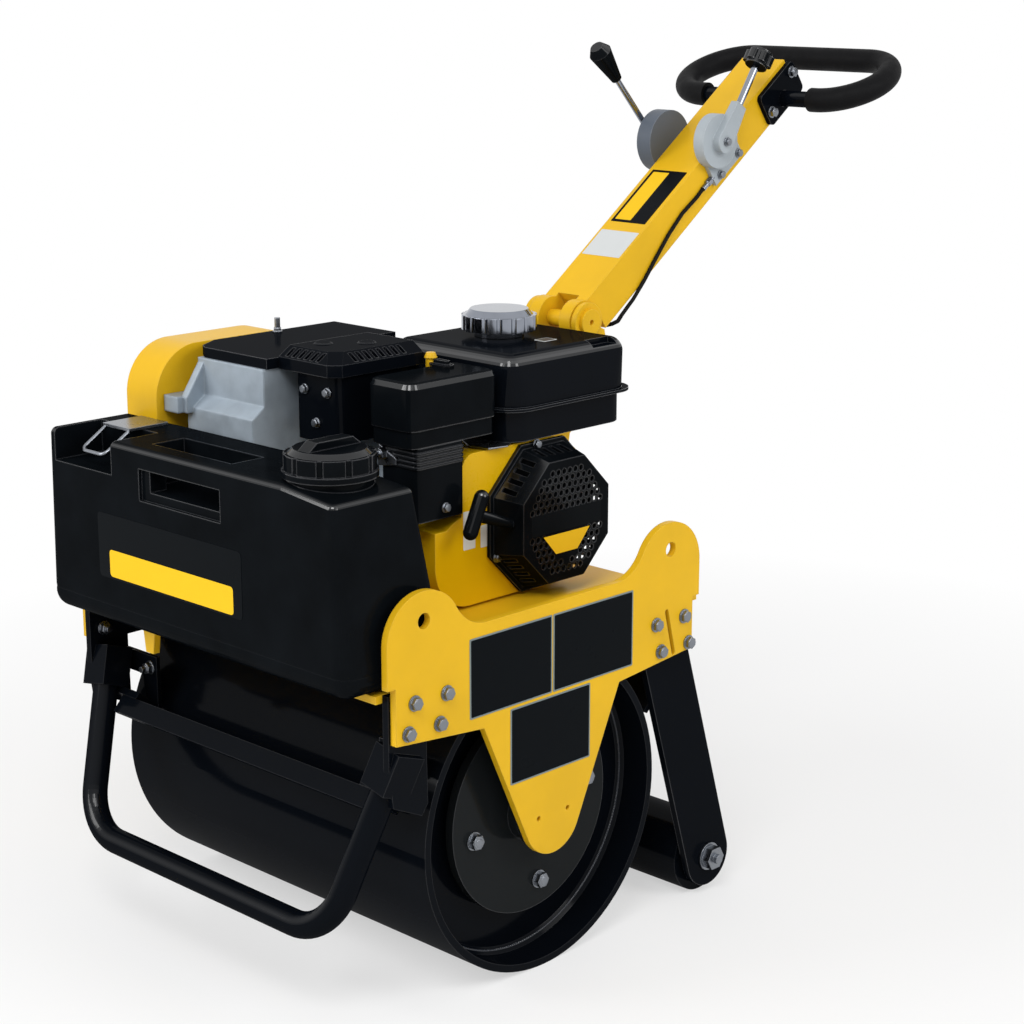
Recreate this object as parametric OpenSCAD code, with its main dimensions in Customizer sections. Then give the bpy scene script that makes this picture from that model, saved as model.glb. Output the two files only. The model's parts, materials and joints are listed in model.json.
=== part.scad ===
// Walk-behind single-drum road roller: vibrating drum, rear support roller, petrol engine,
// sprinkler water tank and a handle that folds up for transport.
// Millimetres. X points forward, Y to the machine's left, Z up, and the ground is Z = 0.

/* [Drum] */
// Outer diameter of the drum
drum_d = 425; // [400:1:440]
// Width of the drum
drum_w = 600; // [540:5:660]
// Thickness of the drum's shell
drum_wall = 10; // [6:1:16]
// Thickness of the two webs inside the drum
web_t = 10; // [6:1:16]
// How far each web sits inside the drum's end
web_inset = 50; // [46:1:70]
// Outer diameter of the exciter's housing between the webs
exciter_d = 140; // [100:5:200]
// Diameter of the end discs on the rubber buffers
disc_d = 282; // [260:2:320]
// Thickness of the end discs
disc_t = 13; // [8:1:16]
// Length of the rubber buffers between web and disc
buffer_len = 12; // [8:1:16]
// Diameter of the rubber buffers
buffer_d = 44; // [30:1:60]
// Diameter of the circle that the buffers sit on
buffer_pcd = 210; // [180:2:220]
// Turn of the buffers about the drum's axle, in degrees
buffer_turn = 8.4; // [0:0.2:90]
// Diameter of the stub axles that carry the drum
axle_d = 50; // [40:1:60]
// Diameter of the stub axles' flanges
axle_flange_d = 96; // [80:2:98]

/* [Side plates] */
// Thickness of the side plates
plate_t = 10; // [6:1:14]
// Gap between the drum's end and the side plate
plate_gap = 6; // [5:0.5:10]
// Distance of the plate's widest edge from the drum's axle
plate_half_len = 285; // [280:1:300]
// Distance of the plate's lower corners from the drum's axle
plate_foot_half = 272; // [268:1:278]
// Radius of the lobes round the lifting eyes
lobe_r = 61; // [50:1:70]
// Height of the valley between the lobes above the deck
valley_rise = 51; // [40:1:70]
// Radius of the fillets between valley and lobes
valley_r = 60; // [40:1:80]
// Diameter of the lifting eyes
eye_d = 20; // [14:1:26]
// Distance of the lifting eyes from the drum's axle
eye_x = 225; // [215:1:235]
// Half the width of the tongue where it leaves the plate
tongue_root_half = 125; // [110:1:140]
// Radius of the tongue's round end
tongue_r = 50; // [49:1:64]
// Diameter of the two small holes in the tongue
tongue_hole_d = 7; // [4:1:10]

/* [Deck and arms] */
// Gap between the drum and the deck
deck_gap = 14; // [8:1:20]
// Thickness of the deck plate
deck_t = 10; // [6:1:14]
// Rear edge of the deck, behind the drum's axle
deck_rear = 292; // [288:1:300]
// Front edge of the shelf under the water tank, ahead of the drum's axle
shelf_front = 285; // [270:1:300]
// Width of the rear arms
arm_w = 86; // [70:1:96]
// Thickness of the rear arms and of the front brackets
arm_t = 10; // [6:1:14]
// Place of the rear arms' upper ends behind the drum's axle
arm_top_x = 211; // [200:1:225]

/* [Rear roller] */
// Diameter of the rear roller
roller_d = 108; // [90:1:120]
// Wall of the rear roller
roller_wall = 8; // [4:1:14]
// Distance of the rear roller's axle behind the drum's axle
roller_x = 330; // [320:1:345]
// Diameter of the rear roller's axle
roller_axle_d = 20; // [14:1:26]
// Side gap between the roller and each arm
roller_gap = 6; // [5:0.5:12]

/* [Front guard and scrapers] */
// Diameter of the guard's tube
guard_d = 34; // [28:1:36]
// Distance of the guard's lower bar ahead of the drum
guard_reach = 113; // [105:1:125]
// Height of the centre of the guard's lower bar
guard_z = 129; // [110:1:150]
// How far the guard leans back towards its top, in degrees
guard_lean = 19; // [16:0.5:21]
// How far each leg of the guard leans outwards, in degrees
guard_splay = 11.5; // [8:0.5:12]
// Bend radius of the guard's tube, at its centre line
guard_bend = 74; // [60:1:90]
// Outside width of the guard's square sockets
socket_w = 44; // [42:1:48]
// Length of the guard's sockets
socket_len = 54; // [40:1:60]
// Gap between the scrapers' edges and the drum
scraper_gap = 6; // [5:0.5:10]
// Thickness of the scrapers
scraper_t = 8; // [5:1:10]
// Width of the scrapers' blades
scraper_w = 56; // [50:1:60]
// Width of the scrapers' folded edge
scraper_lip = 26; // [16:1:30]

/* [Water tank] */
// Depth of the water tank, front to back
tank_depth = 130; // [120:1:140]
// Rear face of the water tank, ahead of the drum's axle
tank_rear = 205; // [200:1:212]
// Height of the water tank
tank_h = 248; // [230:2:270]
// Gap between the water tank and each side plate
tank_gap = 8; // [4:0.5:12]
// How far each end of the tank leans in towards its top
tank_lean = 16; // [4:1:30]
// How far the tank's left end reaches back at its foot
tank_skew = 40; // [20:1:44]
// Radius of the water tank's lower edges
tank_r = 24; // [14:1:30]
// Radius of the water tank's upper edges
tank_top_r = 9; // [5:1:12]
// Fall of the tank's top beyond its screw cap
tank_fall = 9; // [4:1:14]
// Depth of the pocket at the tank's far corner
pocket_drop = 43; // [30:1:60]
// Length of the pocket at the tank's far corner
pocket_len = 123; // [100:1:140]
// Diameter of the water tank's screw cap
cap_d = 116; // [90:1:118]
// Height of the water tank's screw cap
cap_h = 34; // [24:1:50]
// Place of the cap along the tank, to the left of the middle
cap_y = 205; // [180:1:210]
// Diameter of the wire in the tank's clip
wire_d = 5; // [3:0.5:8]

/* [Engine] */
// Place of the crankshaft behind the drum's axle
crank_x = 158; // [154:1:160]
// Height of the crankshaft above the deck
crank_rise = 106; // [106:1:116]
// Length of the crankcase
case_len = 177; // [160:1:180]
// Width of the crankcase
case_w = 175; // [150:1:176]
// Face of the fan shroud, to the left of the middle
shroud_y = 140; // [134:1:146]
// Depth of the fan shroud
shroud_depth = 80; // [70:1:84]
// How far the fan shroud reaches ahead of the crankshaft
shroud_front = 148; // [142:1:154]
// Size of the recoil starter's flange across its flats
recoil_w = 202; // [198:1:206]
// Size of the starter's cage across its flats
cage_w = 192; // [180:1:194]
// Size of the cage's face across its flats
face_w = 166; // [160:1:178]
// Depth of the recoil starter's cover
recoil_depth = 50; // [44:1:56]
// Wall of the recoil starter's cover
recoil_wall = 3; // [2:0.5:4]
// Size of the cover's air holes across their flats
vent_w = 7.5; // [5:0.5:8]
// Pitch of the cover's air holes
vent_pitch = 11; // [10.5:0.5:14]
// Height of the plain band across the cover
band_h = 38; // [30:1:50]
// Length of the starter's pull handle
pull_len = 68; // [50:1:80]
// Thickness of the starter's pull handle
pull_d = 20; // [16:1:24]

/* [Fuel tank] */
// Length of the fuel tank along the machine
fuel_len = 257; // [245:1:260]
// Width of the fuel tank across the machine
fuel_w = 255; // [240:1:260]
// Rear edge of the fuel tank behind the drum's axle
fuel_rear = 333; // [325:1:334]
// Left edge of the fuel tank, to the left of the middle
fuel_side = 165; // [155:1:175]
// Height of the fuel tank's seam above the deck
fuel_seam = 258; // [250:1:270]
// Height of the fuel tank's upper shell
fuel_upper_h = 72; // [60:1:76]
// Height of the fuel tank's lower shell
fuel_lower_h = 45; // [30:1:48]
// Radius of the fuel tank's upright corners
fuel_r = 40; // [30:1:48]
// Radius of the fuel tank's upper edges
fuel_top_r = 20; // [12:1:24]
// Diameter of the fuel cap
fuel_cap_d = 104; // [90:1:110]
// Height of the fuel cap and its neck
fuel_cap_h = 38; // [32:1:50]

/* [Covers and drive] */
// Front face of the silencer's guard, ahead of the drum's axle
muffler_front = 126; // [110:1:130]
// Left face of the silencer's guard, to the left of the middle
muffler_side = 50; // [44:1:56]
// Length of the silencer's guard
muffler_len = 156; // [140:1:170]
// Width of the silencer's guard
muffler_w = 109; // [100:1:115]
// Height of the silencer guard's top above the hood
muffler_rise = 14; // [7:1:21]
// Width of the guard's slotted slopes
slope_w = 20; // [14:1:26]
// Fall of the guard's slotted slopes
slope_drop = 13; // [8:1:18]
// Height of the silencer below its guard
silencer_h = 90; // [80:1:90]
// Front edge of the hood, ahead of the drum's axle
hood_front = 146; // [140:1:150]
// Length of the hood
hood_len = 261; // [240:1:270]
// Width of the hood
hood_w = 165; // [150:1:166]
// Height of the hood's top above the deck
hood_rise = 331; // [325:1:336]
// Thickness of the hood's edge
hood_t = 14; // [8:1:18]
// Length of the drive's cast housing
gear_len = 110; // [90:1:120]
// Width of the drive's cast housing
gear_w = 136; // [120:1:140]
// How far the housing steps forward at its shoulder
gear_step = 20; // [10:1:26]
// Length of the belt guard
belt_len = 271; // [250:1:280]
// Width of the belt guard
belt_w = 66; // [50:1:68]
// Radius of the belt guard's upper corners
belt_r = 70; // [40:1:90]
// Wall of the belt guard
belt_wall = 3; // [2:0.5:4]
// Front face of the air cleaner, ahead of the drum's axle
air_front = 88; // [80:1:95]
// Left face of the air cleaner, to the left of the middle
air_side = 150; // [145:1:155]
// Length of the air cleaner
air_len = 159; // [140:1:160]
// Width of the air cleaner
air_w = 84; // [76:1:90]
// Height of the air cleaner's top above the deck
air_rise = 317; // [310:1:325]
// Height of the air cleaner
air_h = 85; // [76:1:90]
// Height of the air cleaner's lid
lid_h = 62; // [50:1:68]
// Height of the carburettor's cover
panel_h = 98; // [90:1:110]

/* [Handle] */
// Place of the handle's hinge behind the drum's axle
hinge_x = 352; // [350:1:360]
// Height of the handle's hinge above the deck
hinge_rise = 333; // [325:1:345]
// Thickness of the handle's post, front to back
post_t = 44; // [36:1:46]
// Slope of the handle's arm in its working position, in degrees
arm_pitch = 36; // [33:0.5:40]
// Height of the arm's upper face above the hinge, square to the arm
arm_lift = 20; // [14:1:26]
// Width of the handle's arm
beam_w = 80; // [70:1:90]
// Depth of the handle's arm
beam_h = 60; // [50:1:70]
// Wall of the handle's arm
beam_wall = 5; // [3:0.5:8]
// Distance from the hinge to the arm's lower end
beam_start = 30; // [28:1:34]
// Distance from the hinge to the arm's upper end
beam_end = 567; // [560:1:600]
// Diameter of the hinge pin
pin_d = 24; // [16:1:30]
// Diameter of the hinge pin's head
pin_head_d = 38; // [32:1:42]
// Radius of the hinge's round lugs
lug_r = 30; // [26:1:34]
// Thickness of the hinge's lugs
lug_t = 20; // [14:1:26]
// Thickness of the post's ears
ear_t = 8; // [6:1:12]
// Distance from the hinge to the control levers' hubs
lever_s = 363; // [350:1:375]
// Diameter of the left lever's round box
box_left_d = 80; // [70:1:84]
// Diameter of the right lever's round box
box_right_d = 92; // [80:1:96]
// Depth of the left lever's box
box_left_t = 18; // [14:1:24]
// Depth of the right lever's box
box_right_t = 26; // [20:1:32]
// Length of the levers, from hub to knob
lever_len = 128; // [110:1:140]
// Diameter of the levers' rods
rod_d = 11; // [8:0.5:14]
// Diameter of the control cable
cable_d = 6; // [4:0.5:9]
// Diameter of the loop handle's tube
loop_d = 24; // [20:1:30]
// Diameter of the loop handle's foam grip
grip_d = 36; // [32:1:44]
// Distance between the two long sides of the loop handle
loop_depth = 142; // [120:1:170]
// Half the width of the loop handle, at its centre line
loop_half = 180; // [172:1:200]
// Rise of the loop handle towards the rear, in degrees
loop_rise = 22; // [10:1:38]

/* [Hidden] */
$fn = 64;

// Colours as the machine shows them
yellow = [0.92, 0.71, 0.14];
black = [0.07, 0.07, 0.08];
dark_plastic = [0.05, 0.05, 0.055];
steel = [0.62, 0.63, 0.65];
alloy = [0.72, 0.74, 0.76];
grey_paint = [0.64, 0.67, 0.69];
rubber = [0.03, 0.03, 0.03];

// Fits and small gaps
run_clear = 0.05;
touch_gap = 0.3;
tank_clear = 3;
gear_gap = 3;
belt_gap = 2;
belt_inset = 14;
over = 1;

// Heights and widths that follow from the drum
axle_z = drum_d / 2;
deck_bottom = drum_d + deck_gap;
deck_top = deck_bottom + deck_t;
plate_in = drum_w / 2 + plate_gap;
plate_out = plate_in + plate_t;
web_y = drum_w / 2 - web_inset;
disc_in = web_y + buffer_len;
disc_out = disc_in + disc_t;
arm_in = plate_in - arm_t;

// Side plate
lobe_x = plate_half_len - lobe_r;
valley_z = deck_top + valley_rise;
valley_x = lobe_x - sqrt(lobe_r * lobe_r + 2 * lobe_r * valley_r);
notch_z = deck_top + 1;
foot_z = deck_top - 71;
root_z = deck_top - 85;
eye_z = valley_z + 24;
tongue_hole_x = 27;
tongue_hole_z = axle_z + 4;
slot_w = 7;
slot_top = [-219, deck_top - 10];
slot_foot = [-234, deck_top - 70];

// Drum
hub_d = 84;
hub_len = 15;
bead = 8;

// Rear arms
roller_z = roller_d / 2;
arm_top_z = deck_bottom;
arm_lean = atan2(roller_x - arm_top_x, arm_top_z - roller_z);
roller_half = arm_in - roller_gap;

// Front guard: its legs lean out to the sockets under the side plates
guard_x = drum_d / 2 + guard_reach;
socket_top = foot_z - 16;
guard_rise = (socket_top - guard_z) / cos(guard_lean);
leg_top_y = plate_in - 12;
guard_half_w = leg_top_y - guard_rise * tan(guard_splay);
leg_len = guard_rise / cos(guard_splay);
socket_x = guard_x - (socket_top - guard_z) * tan(guard_lean);
socket_cap = 8;

// Scrapers, by their angle up from the drum's middle
scraper_r = drum_d / 2 + scraper_gap;
front_scraper_angle = 14;
rear_scraper_angle = 156;
scraper_tilt = 48;
scraper_tip = [scraper_r * cos(front_scraper_angle), axle_z + scraper_r * sin(front_scraper_angle)];
front_scraper_half = guard_half_w + 12;

// Water tank
tank_front = tank_rear + tank_depth;
tank_z = deck_bottom + touch_gap;
tank_top = tank_z + tank_h;
tank_half = plate_in - tank_gap;
tank_top_half = tank_half - tank_lean;
cap_x = tank_rear + tank_depth / 2;
cap_z = tank_top + 4;
pocket_z = tank_top - pocket_drop;
pocket_depth = 75;

// Engine
crank = [-crank_x, deck_top + crank_rise];
case_rear = 82;
shroud_r = recoil_w / 2 + 4;
hood_top = deck_top + hood_rise;
gear_boss_d = 52;
gear_side = muffler_side - muffler_w - gear_gap;
gear_far = gear_side - gear_w;
belt_far = belt_inset - plate_in;
belt_near = belt_far + belt_w;
engine_y = belt_near + belt_gap - gear_far + gear_boss_d / 2;
muffler_top = hood_top + muffler_rise;
seam_z = deck_top + fuel_seam;
fuel_top = seam_z + fuel_upper_h;
fuel_foot = seam_z - fuel_lower_h;
air_top = deck_top + air_rise;
panel_z = air_top - air_h;

// Handle
hinge = [-hinge_x, deck_top + hinge_rise];
lug_out = beam_w / 2;
ear_in = lug_out + 2;
ear_out = ear_in + ear_t;
post_half = ear_in + over;
loop_s = beam_end - 40;
loop_h = -42;
loop_straight = loop_half - loop_depth / 2;
box_left_h = 10;
box_right_s = lever_s - 2;
box_right_h = 5;
lever_left_angle = 20;
lever_right_angle = 97;
cast_len = 62;

// The machine's length, from the guard's front to the grip's back, is centred on X = 0
loop_x = hinge[0] - loop_s * cos(arm_pitch) + (arm_lift + loop_h) * sin(arm_pitch);
x_rear = loop_x - loop_depth * cos(loop_rise) - grip_d / 2;
x_front = max(tank_front, guard_x + guard_d / 2);
origin_shift = -(x_front + x_rear) / 2;

// Angle at which the line from p touches the circle of radius r round c, on its lower side
function touch_angle(p, c, r) = atan2(p[1] - c[1], p[0] - c[0]) - acos(r / norm(p - c));

// Everything is drawn round the drum's axle and then moved to the machine's middle
module placed() {
  translate([origin_shift, 0, 0]) children();
}

// The engine and its drive keep their place beside the belt's guard
module on_engine() {
  translate([0, engine_y, 0]) children();
}

// A flat outline in X and Z, given thickness along Y
module slab(y_from, y_to) {
  translate([0, y_to, 0]) rotate([90, 0, 0]) linear_extrude(y_to - y_from) children();
}

// A round bar along Y
module bar_y(d, y_from, y_to, x, z) {
  translate([x, y_from, z]) rotate([-90, 0, 0]) cylinder(d = d, h = y_to - y_from);
}

// The same piece on the other side of the machine
module other_side() {
  mirror([0, 1, 0]) children();
}

// A rectangle with round corners, from corner a to corner b
module round_rect(a, b, r) {
  translate([a[0] + r, a[1]]) square([b[0] - a[0] - 2 * r, b[1] - a[1]]);
  translate([a[0], a[1] + r]) square([b[0] - a[0], b[1] - a[1] - 2 * r]);
  for (x = [a[0] + r, b[0] - r])
    for (y = [a[1] + r, b[1] - r])
      translate([x, y]) circle(r);
}

// A block with round upright edges
module round_block(a, b, r) {
  translate([0, 0, a[2]]) linear_extrude(b[2] - a[2]) round_rect([a[0], a[1]], [b[0], b[1]], r);
}

// The arm's own frame: -X runs up its upper face from above the hinge, +Z is square to that face
module on_arm() {
  translate([hinge[0], 0, hinge[1]]) rotate([0, arm_pitch, 0]) translate([0, 0, arm_lift])
    children();
}

// Points along an arc round c, from one angle to another
function arc(c, r, from, to, steps) =
  [for (i = [0 : steps]) let (a = from + (to - from) * i / steps) c + r * [cos(a), sin(a)]];

// Right half of the side plate's outline, from the valley round the lobe to the tongue's tip
fillet_c = [valley_x, valley_z + valley_r];
fillet_end = atan2(-valley_r, lobe_x - valley_x);
tongue_start = touch_angle([tongue_root_half, root_z], [0, axle_z], tongue_r);
plate_half = concat(
  arc(fillet_c, valley_r, -90, fillet_end, 12),
  arc([lobe_x, valley_z], lobe_r, fillet_end + 180, 0, 32),
  [[plate_half_len, notch_z], [plate_foot_half, notch_z], [plate_foot_half, foot_z],
    [tongue_root_half, root_z]],
  arc([0, axle_z], tongue_r, tongue_start, -90, 16)
);
plate_mirror = [for (i = [len(plate_half) - 2 : -1 : 0]) [-plate_half[i][0], plate_half[i][1]]];

// A slot with round ends between two points
module slot_2d(a, b, w) {
  turn = atan2(b[1] - a[1], b[0] - a[0]);
  polygon(concat(arc(a, w / 2, turn + 90, turn + 270, 12), arc(b, w / 2, turn - 90, turn + 90, 12)));
}

module plate_outline() {
  difference() {
    polygon(concat(plate_half, plate_mirror));
    for (s = [-1, 1]) {
      translate([s * eye_x, eye_z]) circle(d = eye_d);
      translate([s * tongue_hole_x, tongue_hole_z]) circle(d = tongue_hole_d);
    }
    slot_2d(slot_top, slot_foot, slot_w);
  }
}

module side_plate() {
  color(yellow) slab(plate_in, plate_out) plate_outline();
}

module side_plate_left() {
  placed() side_plate();
}

module side_plate_right() {
  placed() other_side() side_plate();
}

// Stub axle bolted to the inside of the tongue
module stub_axle() {
  flange_in = plate_in - 8;
  color(steel) {
    bar_y(axle_flange_d, flange_in, plate_in, 0, axle_z);
    bar_y(axle_d, disc_in - 4, flange_in + over, 0, axle_z);
  }
}

module stub_axle_left() {
  placed() stub_axle();
}

module stub_axle_right() {
  placed() other_side() stub_axle();
}

// Engine deck with the lower shelf that carries the water tank, and the shelf's hanging tab
module deck() {
  deck_front = tank_rear - 2;
  shelf_rear = deck_front - 23;
  shelf_half = arm_in - over;
  shelf_z = deck_bottom - deck_t;
  tab = [[-13, over], [13, over], [8, -35], [-8, -35]];
  tab_y = -shelf_half / 2;
  color(yellow) placed() {
    translate([-deck_rear, -plate_in, deck_bottom])
      cube([deck_rear + deck_front, 2 * plate_in, deck_t]);
    translate([shelf_rear, -shelf_half, shelf_z])
      cube([deck_front - shelf_rear, 2 * shelf_half, deck_t + over]);
    translate([shelf_rear, -shelf_half, shelf_z])
      cube([shelf_front - shelf_rear, 2 * shelf_half, deck_t]);
    translate([shelf_front - deck_t, tab_y, shelf_z]) rotate([90, 0, 90])
      linear_extrude(deck_t) polygon(tab);
  }
}

// Flat bar from the deck down to the rear roller's axle
module rear_arm() {
  top_half = arm_w / 2 / cos(arm_lean);
  side = arm_w / 2 * [cos(arm_lean), -sin(arm_lean)];
  foot = [-roller_x, roller_z];
  color(black) slab(arm_in, plate_in) difference() {
    union() {
      polygon([
        foot + side, [-arm_top_x + top_half, arm_top_z], [-arm_top_x - top_half, arm_top_z],
        foot - side
      ]);
      translate(foot) circle(d = arm_w);
    }
    translate(foot) circle(d = roller_axle_d + 2 * run_clear);
  }
}

module rear_arm_left() {
  placed() rear_arm();
}

module rear_arm_right() {
  placed() other_side() rear_arm();
}

// Rear roller's axle with a washer, a six-sided nut and the thread's tip at each end
module rear_axle() {
  washer = [40, 3];
  nut = [34, 12];
  tip = [14, 6];
  nut_y = plate_in + washer[1];
  color(steel) placed() {
    bar_y(roller_axle_d, -plate_in - over, plate_in + over, -roller_x, roller_z);
    for (s = [0, 1]) mirror([0, s, 0]) {
      bar_y(washer[0], plate_in, nut_y, -roller_x, roller_z);
      translate([-roller_x, nut_y - over, roller_z]) rotate([-90, 0, 0])
        cylinder(d = nut[0], h = nut[1] + over, $fn = 6);
      bar_y(tip[0], nut_y, nut_y + nut[1] + tip[1], -roller_x, roller_z);
    }
  }
}

module rear_roller() {
  cap_t = 12;
  color(black) placed() difference() {
    bar_y(roller_d, -roller_half, roller_half, -roller_x, roller_z);
    bar_y(roller_d - 2 * roller_wall, -roller_half + cap_t, roller_half - cap_t,
      -roller_x, roller_z);
    bar_y(roller_axle_d + 2 * run_clear, -roller_half - over, roller_half + over,
      -roller_x, roller_z);
  }
}

// The guard's own frame: Z runs up its leaning plane from the lower bar
module on_guard() {
  translate([guard_x, 0, guard_z]) rotate([0, -guard_lean, 0]) children();
}

// The left leg's frame: Z runs up the leg's centre line
module on_leg() {
  on_guard() translate([0, guard_half_w, 0]) rotate([-guard_splay, 0, 0]) children();
}

// Bracket inside the plate's front end, with the guard's square socket and the scraper's tab
module guard_bracket() {
  neck_rear = socket_x - 32;
  neck_front = socket_x + 30;
  shoulder = 44;
  bore_d = guard_d + 2 * run_clear;
  tab = [10, scraper_w - 20];
  color(black) difference() {
    union() {
      slab(arm_in, plate_in) polygon([
        [neck_rear - shoulder, deck_bottom], [neck_front, deck_bottom],
        [neck_front, socket_top - 17], scraper_tip + [57, 31], scraper_tip + [10, 9],
        scraper_tip + [0, 23], [neck_rear, socket_top - 17], [neck_rear, socket_top + 10],
        [neck_rear - shoulder, socket_top + 10]
      ]);
      on_leg() translate([-socket_w / 2, -socket_w / 2, leg_len - socket_len])
        cube([socket_w, socket_w, socket_len]);
      slab(front_scraper_half - 28, plate_in - 5) translate(scraper_tip) rotate(-scraper_tilt)
        translate([-tab[0], scraper_w - tab[1]]) square(tab);
    }
    on_leg() cylinder(d = bore_d, h = leg_len - socket_cap);
  }
}

module guard_bracket_left() {
  placed() guard_bracket();
}

module guard_bracket_right() {
  placed() other_side() guard_bracket();
}

// Half of the guard: one leg, one bend and half of the lower bar
module guard_half() {
  turn = 90 - guard_splay;
  tangent = guard_bend * tan(turn / 2);
  on_leg() translate([0, 0, tangent])
    cylinder(d = guard_d, h = leg_len - socket_cap - touch_gap - tangent);
  on_guard() {
    translate([0, guard_half_w - tangent, guard_bend]) rotate([0, 90, 0])
      rotate_extrude(angle = turn) translate([guard_bend, 0]) circle(d = guard_d);
    bar_y(guard_d, 0, guard_half_w - tangent, 0, 0);
  }
}

module front_guard() {
  color(black) placed() {
    guard_half();
    other_side() guard_half();
  }
}

// Blade that clears the drum by the scraper's gap, with a folded stiffening edge
module scraper(angle, tilt, half) {
  tip = [scraper_r * cos(angle), axle_z + scraper_r * sin(angle)];
  color(black) slab(-half, half) translate(tip) rotate(tilt) {
    square([scraper_t, scraper_w]);
    translate([0, scraper_w - scraper_t]) square([scraper_lip, scraper_t]);
  }
}

module front_scraper() {
  placed() scraper(front_scraper_angle, -scraper_tilt, front_scraper_half);
}

module rear_scraper() {
  placed() mirror([1, 0, 0]) scraper(180 - rear_scraper_angle, -scraper_tilt, arm_in);
}

// Moulded tank that leans in at both ends, over the round foot that sits on the shelf
module tank_body() {
  r = tank_r;
  rt = tank_top_r;
  fall_y = cap_y - 15;
  crown = [[-tank_top_half + rt, tank_top], [fall_y, tank_top],
    [tank_top_half - rt, tank_top - tank_fall]];
  half = tank_half - r;
  foot = [[tank_rear, -half], [tank_rear - tank_skew, half], [tank_front - 2 * r, -half],
    [tank_front - 2 * r, half]];
  hull() {
    for (p = foot) translate([p[0] + r, p[1], deck_top + touch_gap + r]) sphere(r, $fn = 32);
    for (p = crown)
      for (x = [tank_rear + rt, tank_front - rt])
        translate([x, p[0], p[1] - rt]) sphere(rt, $fn = 32);
  }
  hull() {
    for (y = [-half, half])
      for (x = [tank_rear + r, tank_front - r])
        translate([x, y, tank_z + r]) sphere(r, $fn = 32);
  }
}

// Water tank with the filler's neck, the far pocket, and the grip between top slot and front slot
module water_tank() {
  pocket_y = -tank_half + 30;
  top_slot = [50, 159];
  front_slot = [143, 29];
  frame_slot = [162, 41];
  frame_depth = 5;
  grip_t = 30;
  grip_h = 26;
  slot_y = -96;
  slot_z = tank_top - grip_h - front_slot[1];
  front_y = -70;
  frame_y = -87;
  color(dark_plastic) placed() difference() {
    union() {
      tank_body();
      translate([cap_x, cap_y, tank_top - 30]) cylinder(d = cap_d - 12, h = cap_z - tank_top + 30);
    }
    translate([tank_front - pocket_depth, pocket_y, pocket_z])
      cube([pocket_depth + over, pocket_len, pocket_drop + over]);
    translate([tank_front - grip_t - top_slot[0], slot_y, slot_z])
      cube([top_slot[0], top_slot[1], grip_h + front_slot[1] + over]);
    translate([tank_front - grip_t - over, front_y, slot_z])
      cube([grip_t + 2 * over, front_slot[0], front_slot[1]]);
    translate([tank_front - frame_depth, frame_y, tank_top - grip_h - frame_slot[1]])
      cube([frame_depth + over, frame_slot[0], frame_slot[1]]);
  }
}

// Screw cap with broad lobes and a raised grip across its top
module water_cap() {
  lobes = 10;
  rim = 8;
  crown = 6;
  bar = [84, 20, 11];
  body_d = cap_d - 5;
  color(dark_plastic) placed() translate([cap_x, cap_y, cap_z]) {
    cylinder(d = cap_d, h = rim);
    linear_extrude(cap_h - crown) difference() {
      circle(d = body_d);
      for (i = [0 : lobes - 1])
        rotate(i * 360 / lobes) translate([body_d / 2 + 1, 0]) circle(d = 8, $fn = 16);
    }
    translate([0, 0, cap_h - crown - over]) cylinder(d1 = body_d - 8, d2 = body_d - 22, h = crown + over);
    translate([0, bar[1] / 2, cap_h - over]) rotate([90, 0, 0]) linear_extrude(bar[1])
      polygon([[-bar[0] / 2, 0], [bar[0] / 2, 0], [bar[0] / 2 - 14, bar[2]],
        [-bar[0] / 2 + 14, bar[2]]]);
  }
}

// Clip at the tank's far corner: a plate on the top and a wire loop that hangs into the pocket
module tank_bail() {
  bend = 10;
  plate = [62, 58, 4];
  plate_x = tank_front - pocket_depth - plate[0] + 22;
  plate_y = -234;
  droop = 32;
  reach = 52;
  span = [plate_y + 4, plate_y + plate[1] - 4];
  color(steel) placed() {
    translate([plate_x, plate_y, tank_top]) cube(plate);
    translate([plate_x + plate[0] - 6, 0, tank_top + plate[2] / 2]) rotate([0, droop, 0]) {
      for (y = span)
        translate([0, y, 0]) rotate([0, 90, 0]) cylinder(d = wire_d, h = reach - bend);
      translate([reach - bend, span[1] - bend, 0]) rotate_extrude(angle = 90)
        translate([bend, 0]) circle(d = wire_d);
      translate([reach - bend, span[0] + bend, 0]) rotate(-90) rotate_extrude(angle = 90)
        translate([bend, 0]) circle(d = wire_d);
      bar_y(wire_d, span[0] + bend, span[1] - bend, reach, 0);
    }
  }
}

// Crankcase with the finned cylinder leaning forward, and the posts under the fuel tank
module engine_block() {
  case_y = shroud_y - shroud_depth - case_w;
  case_h = crank_rise + 80;
  cylinder_lean = 20;
  barrel = [120, 110, 84];
  fins = 7;
  fin = [5, 134, 100];
  fin_pitch = 11;
  head = [22, 122, 88];
  post_d = 22;
  color(alloy) placed() on_engine() {
    translate([crank[0] - case_rear, case_y, deck_top]) cube([case_len, case_w, case_h]);
    translate([crank[0], case_y + case_w / 2 + 13, crank[1]]) rotate([0, -cylinder_lean, 0]) {
      translate([60, -barrel[1] / 2, -barrel[2] / 2]) cube(barrel);
      for (i = [0 : fins - 1])
        translate([98 + i * fin_pitch, -fin[1] / 2, -fin[2] / 2]) cube(fin);
      translate([172, -head[1] / 2, -head[2] / 2]) cube(head);
    }
    for (y = [case_y + post_d, case_y + case_w - post_d])
      translate([crank[0] - 30, y, deck_top + case_h - over])
        cylinder(d = post_d, h = fuel_foot - deck_top - case_h + over);
  }
}

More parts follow.
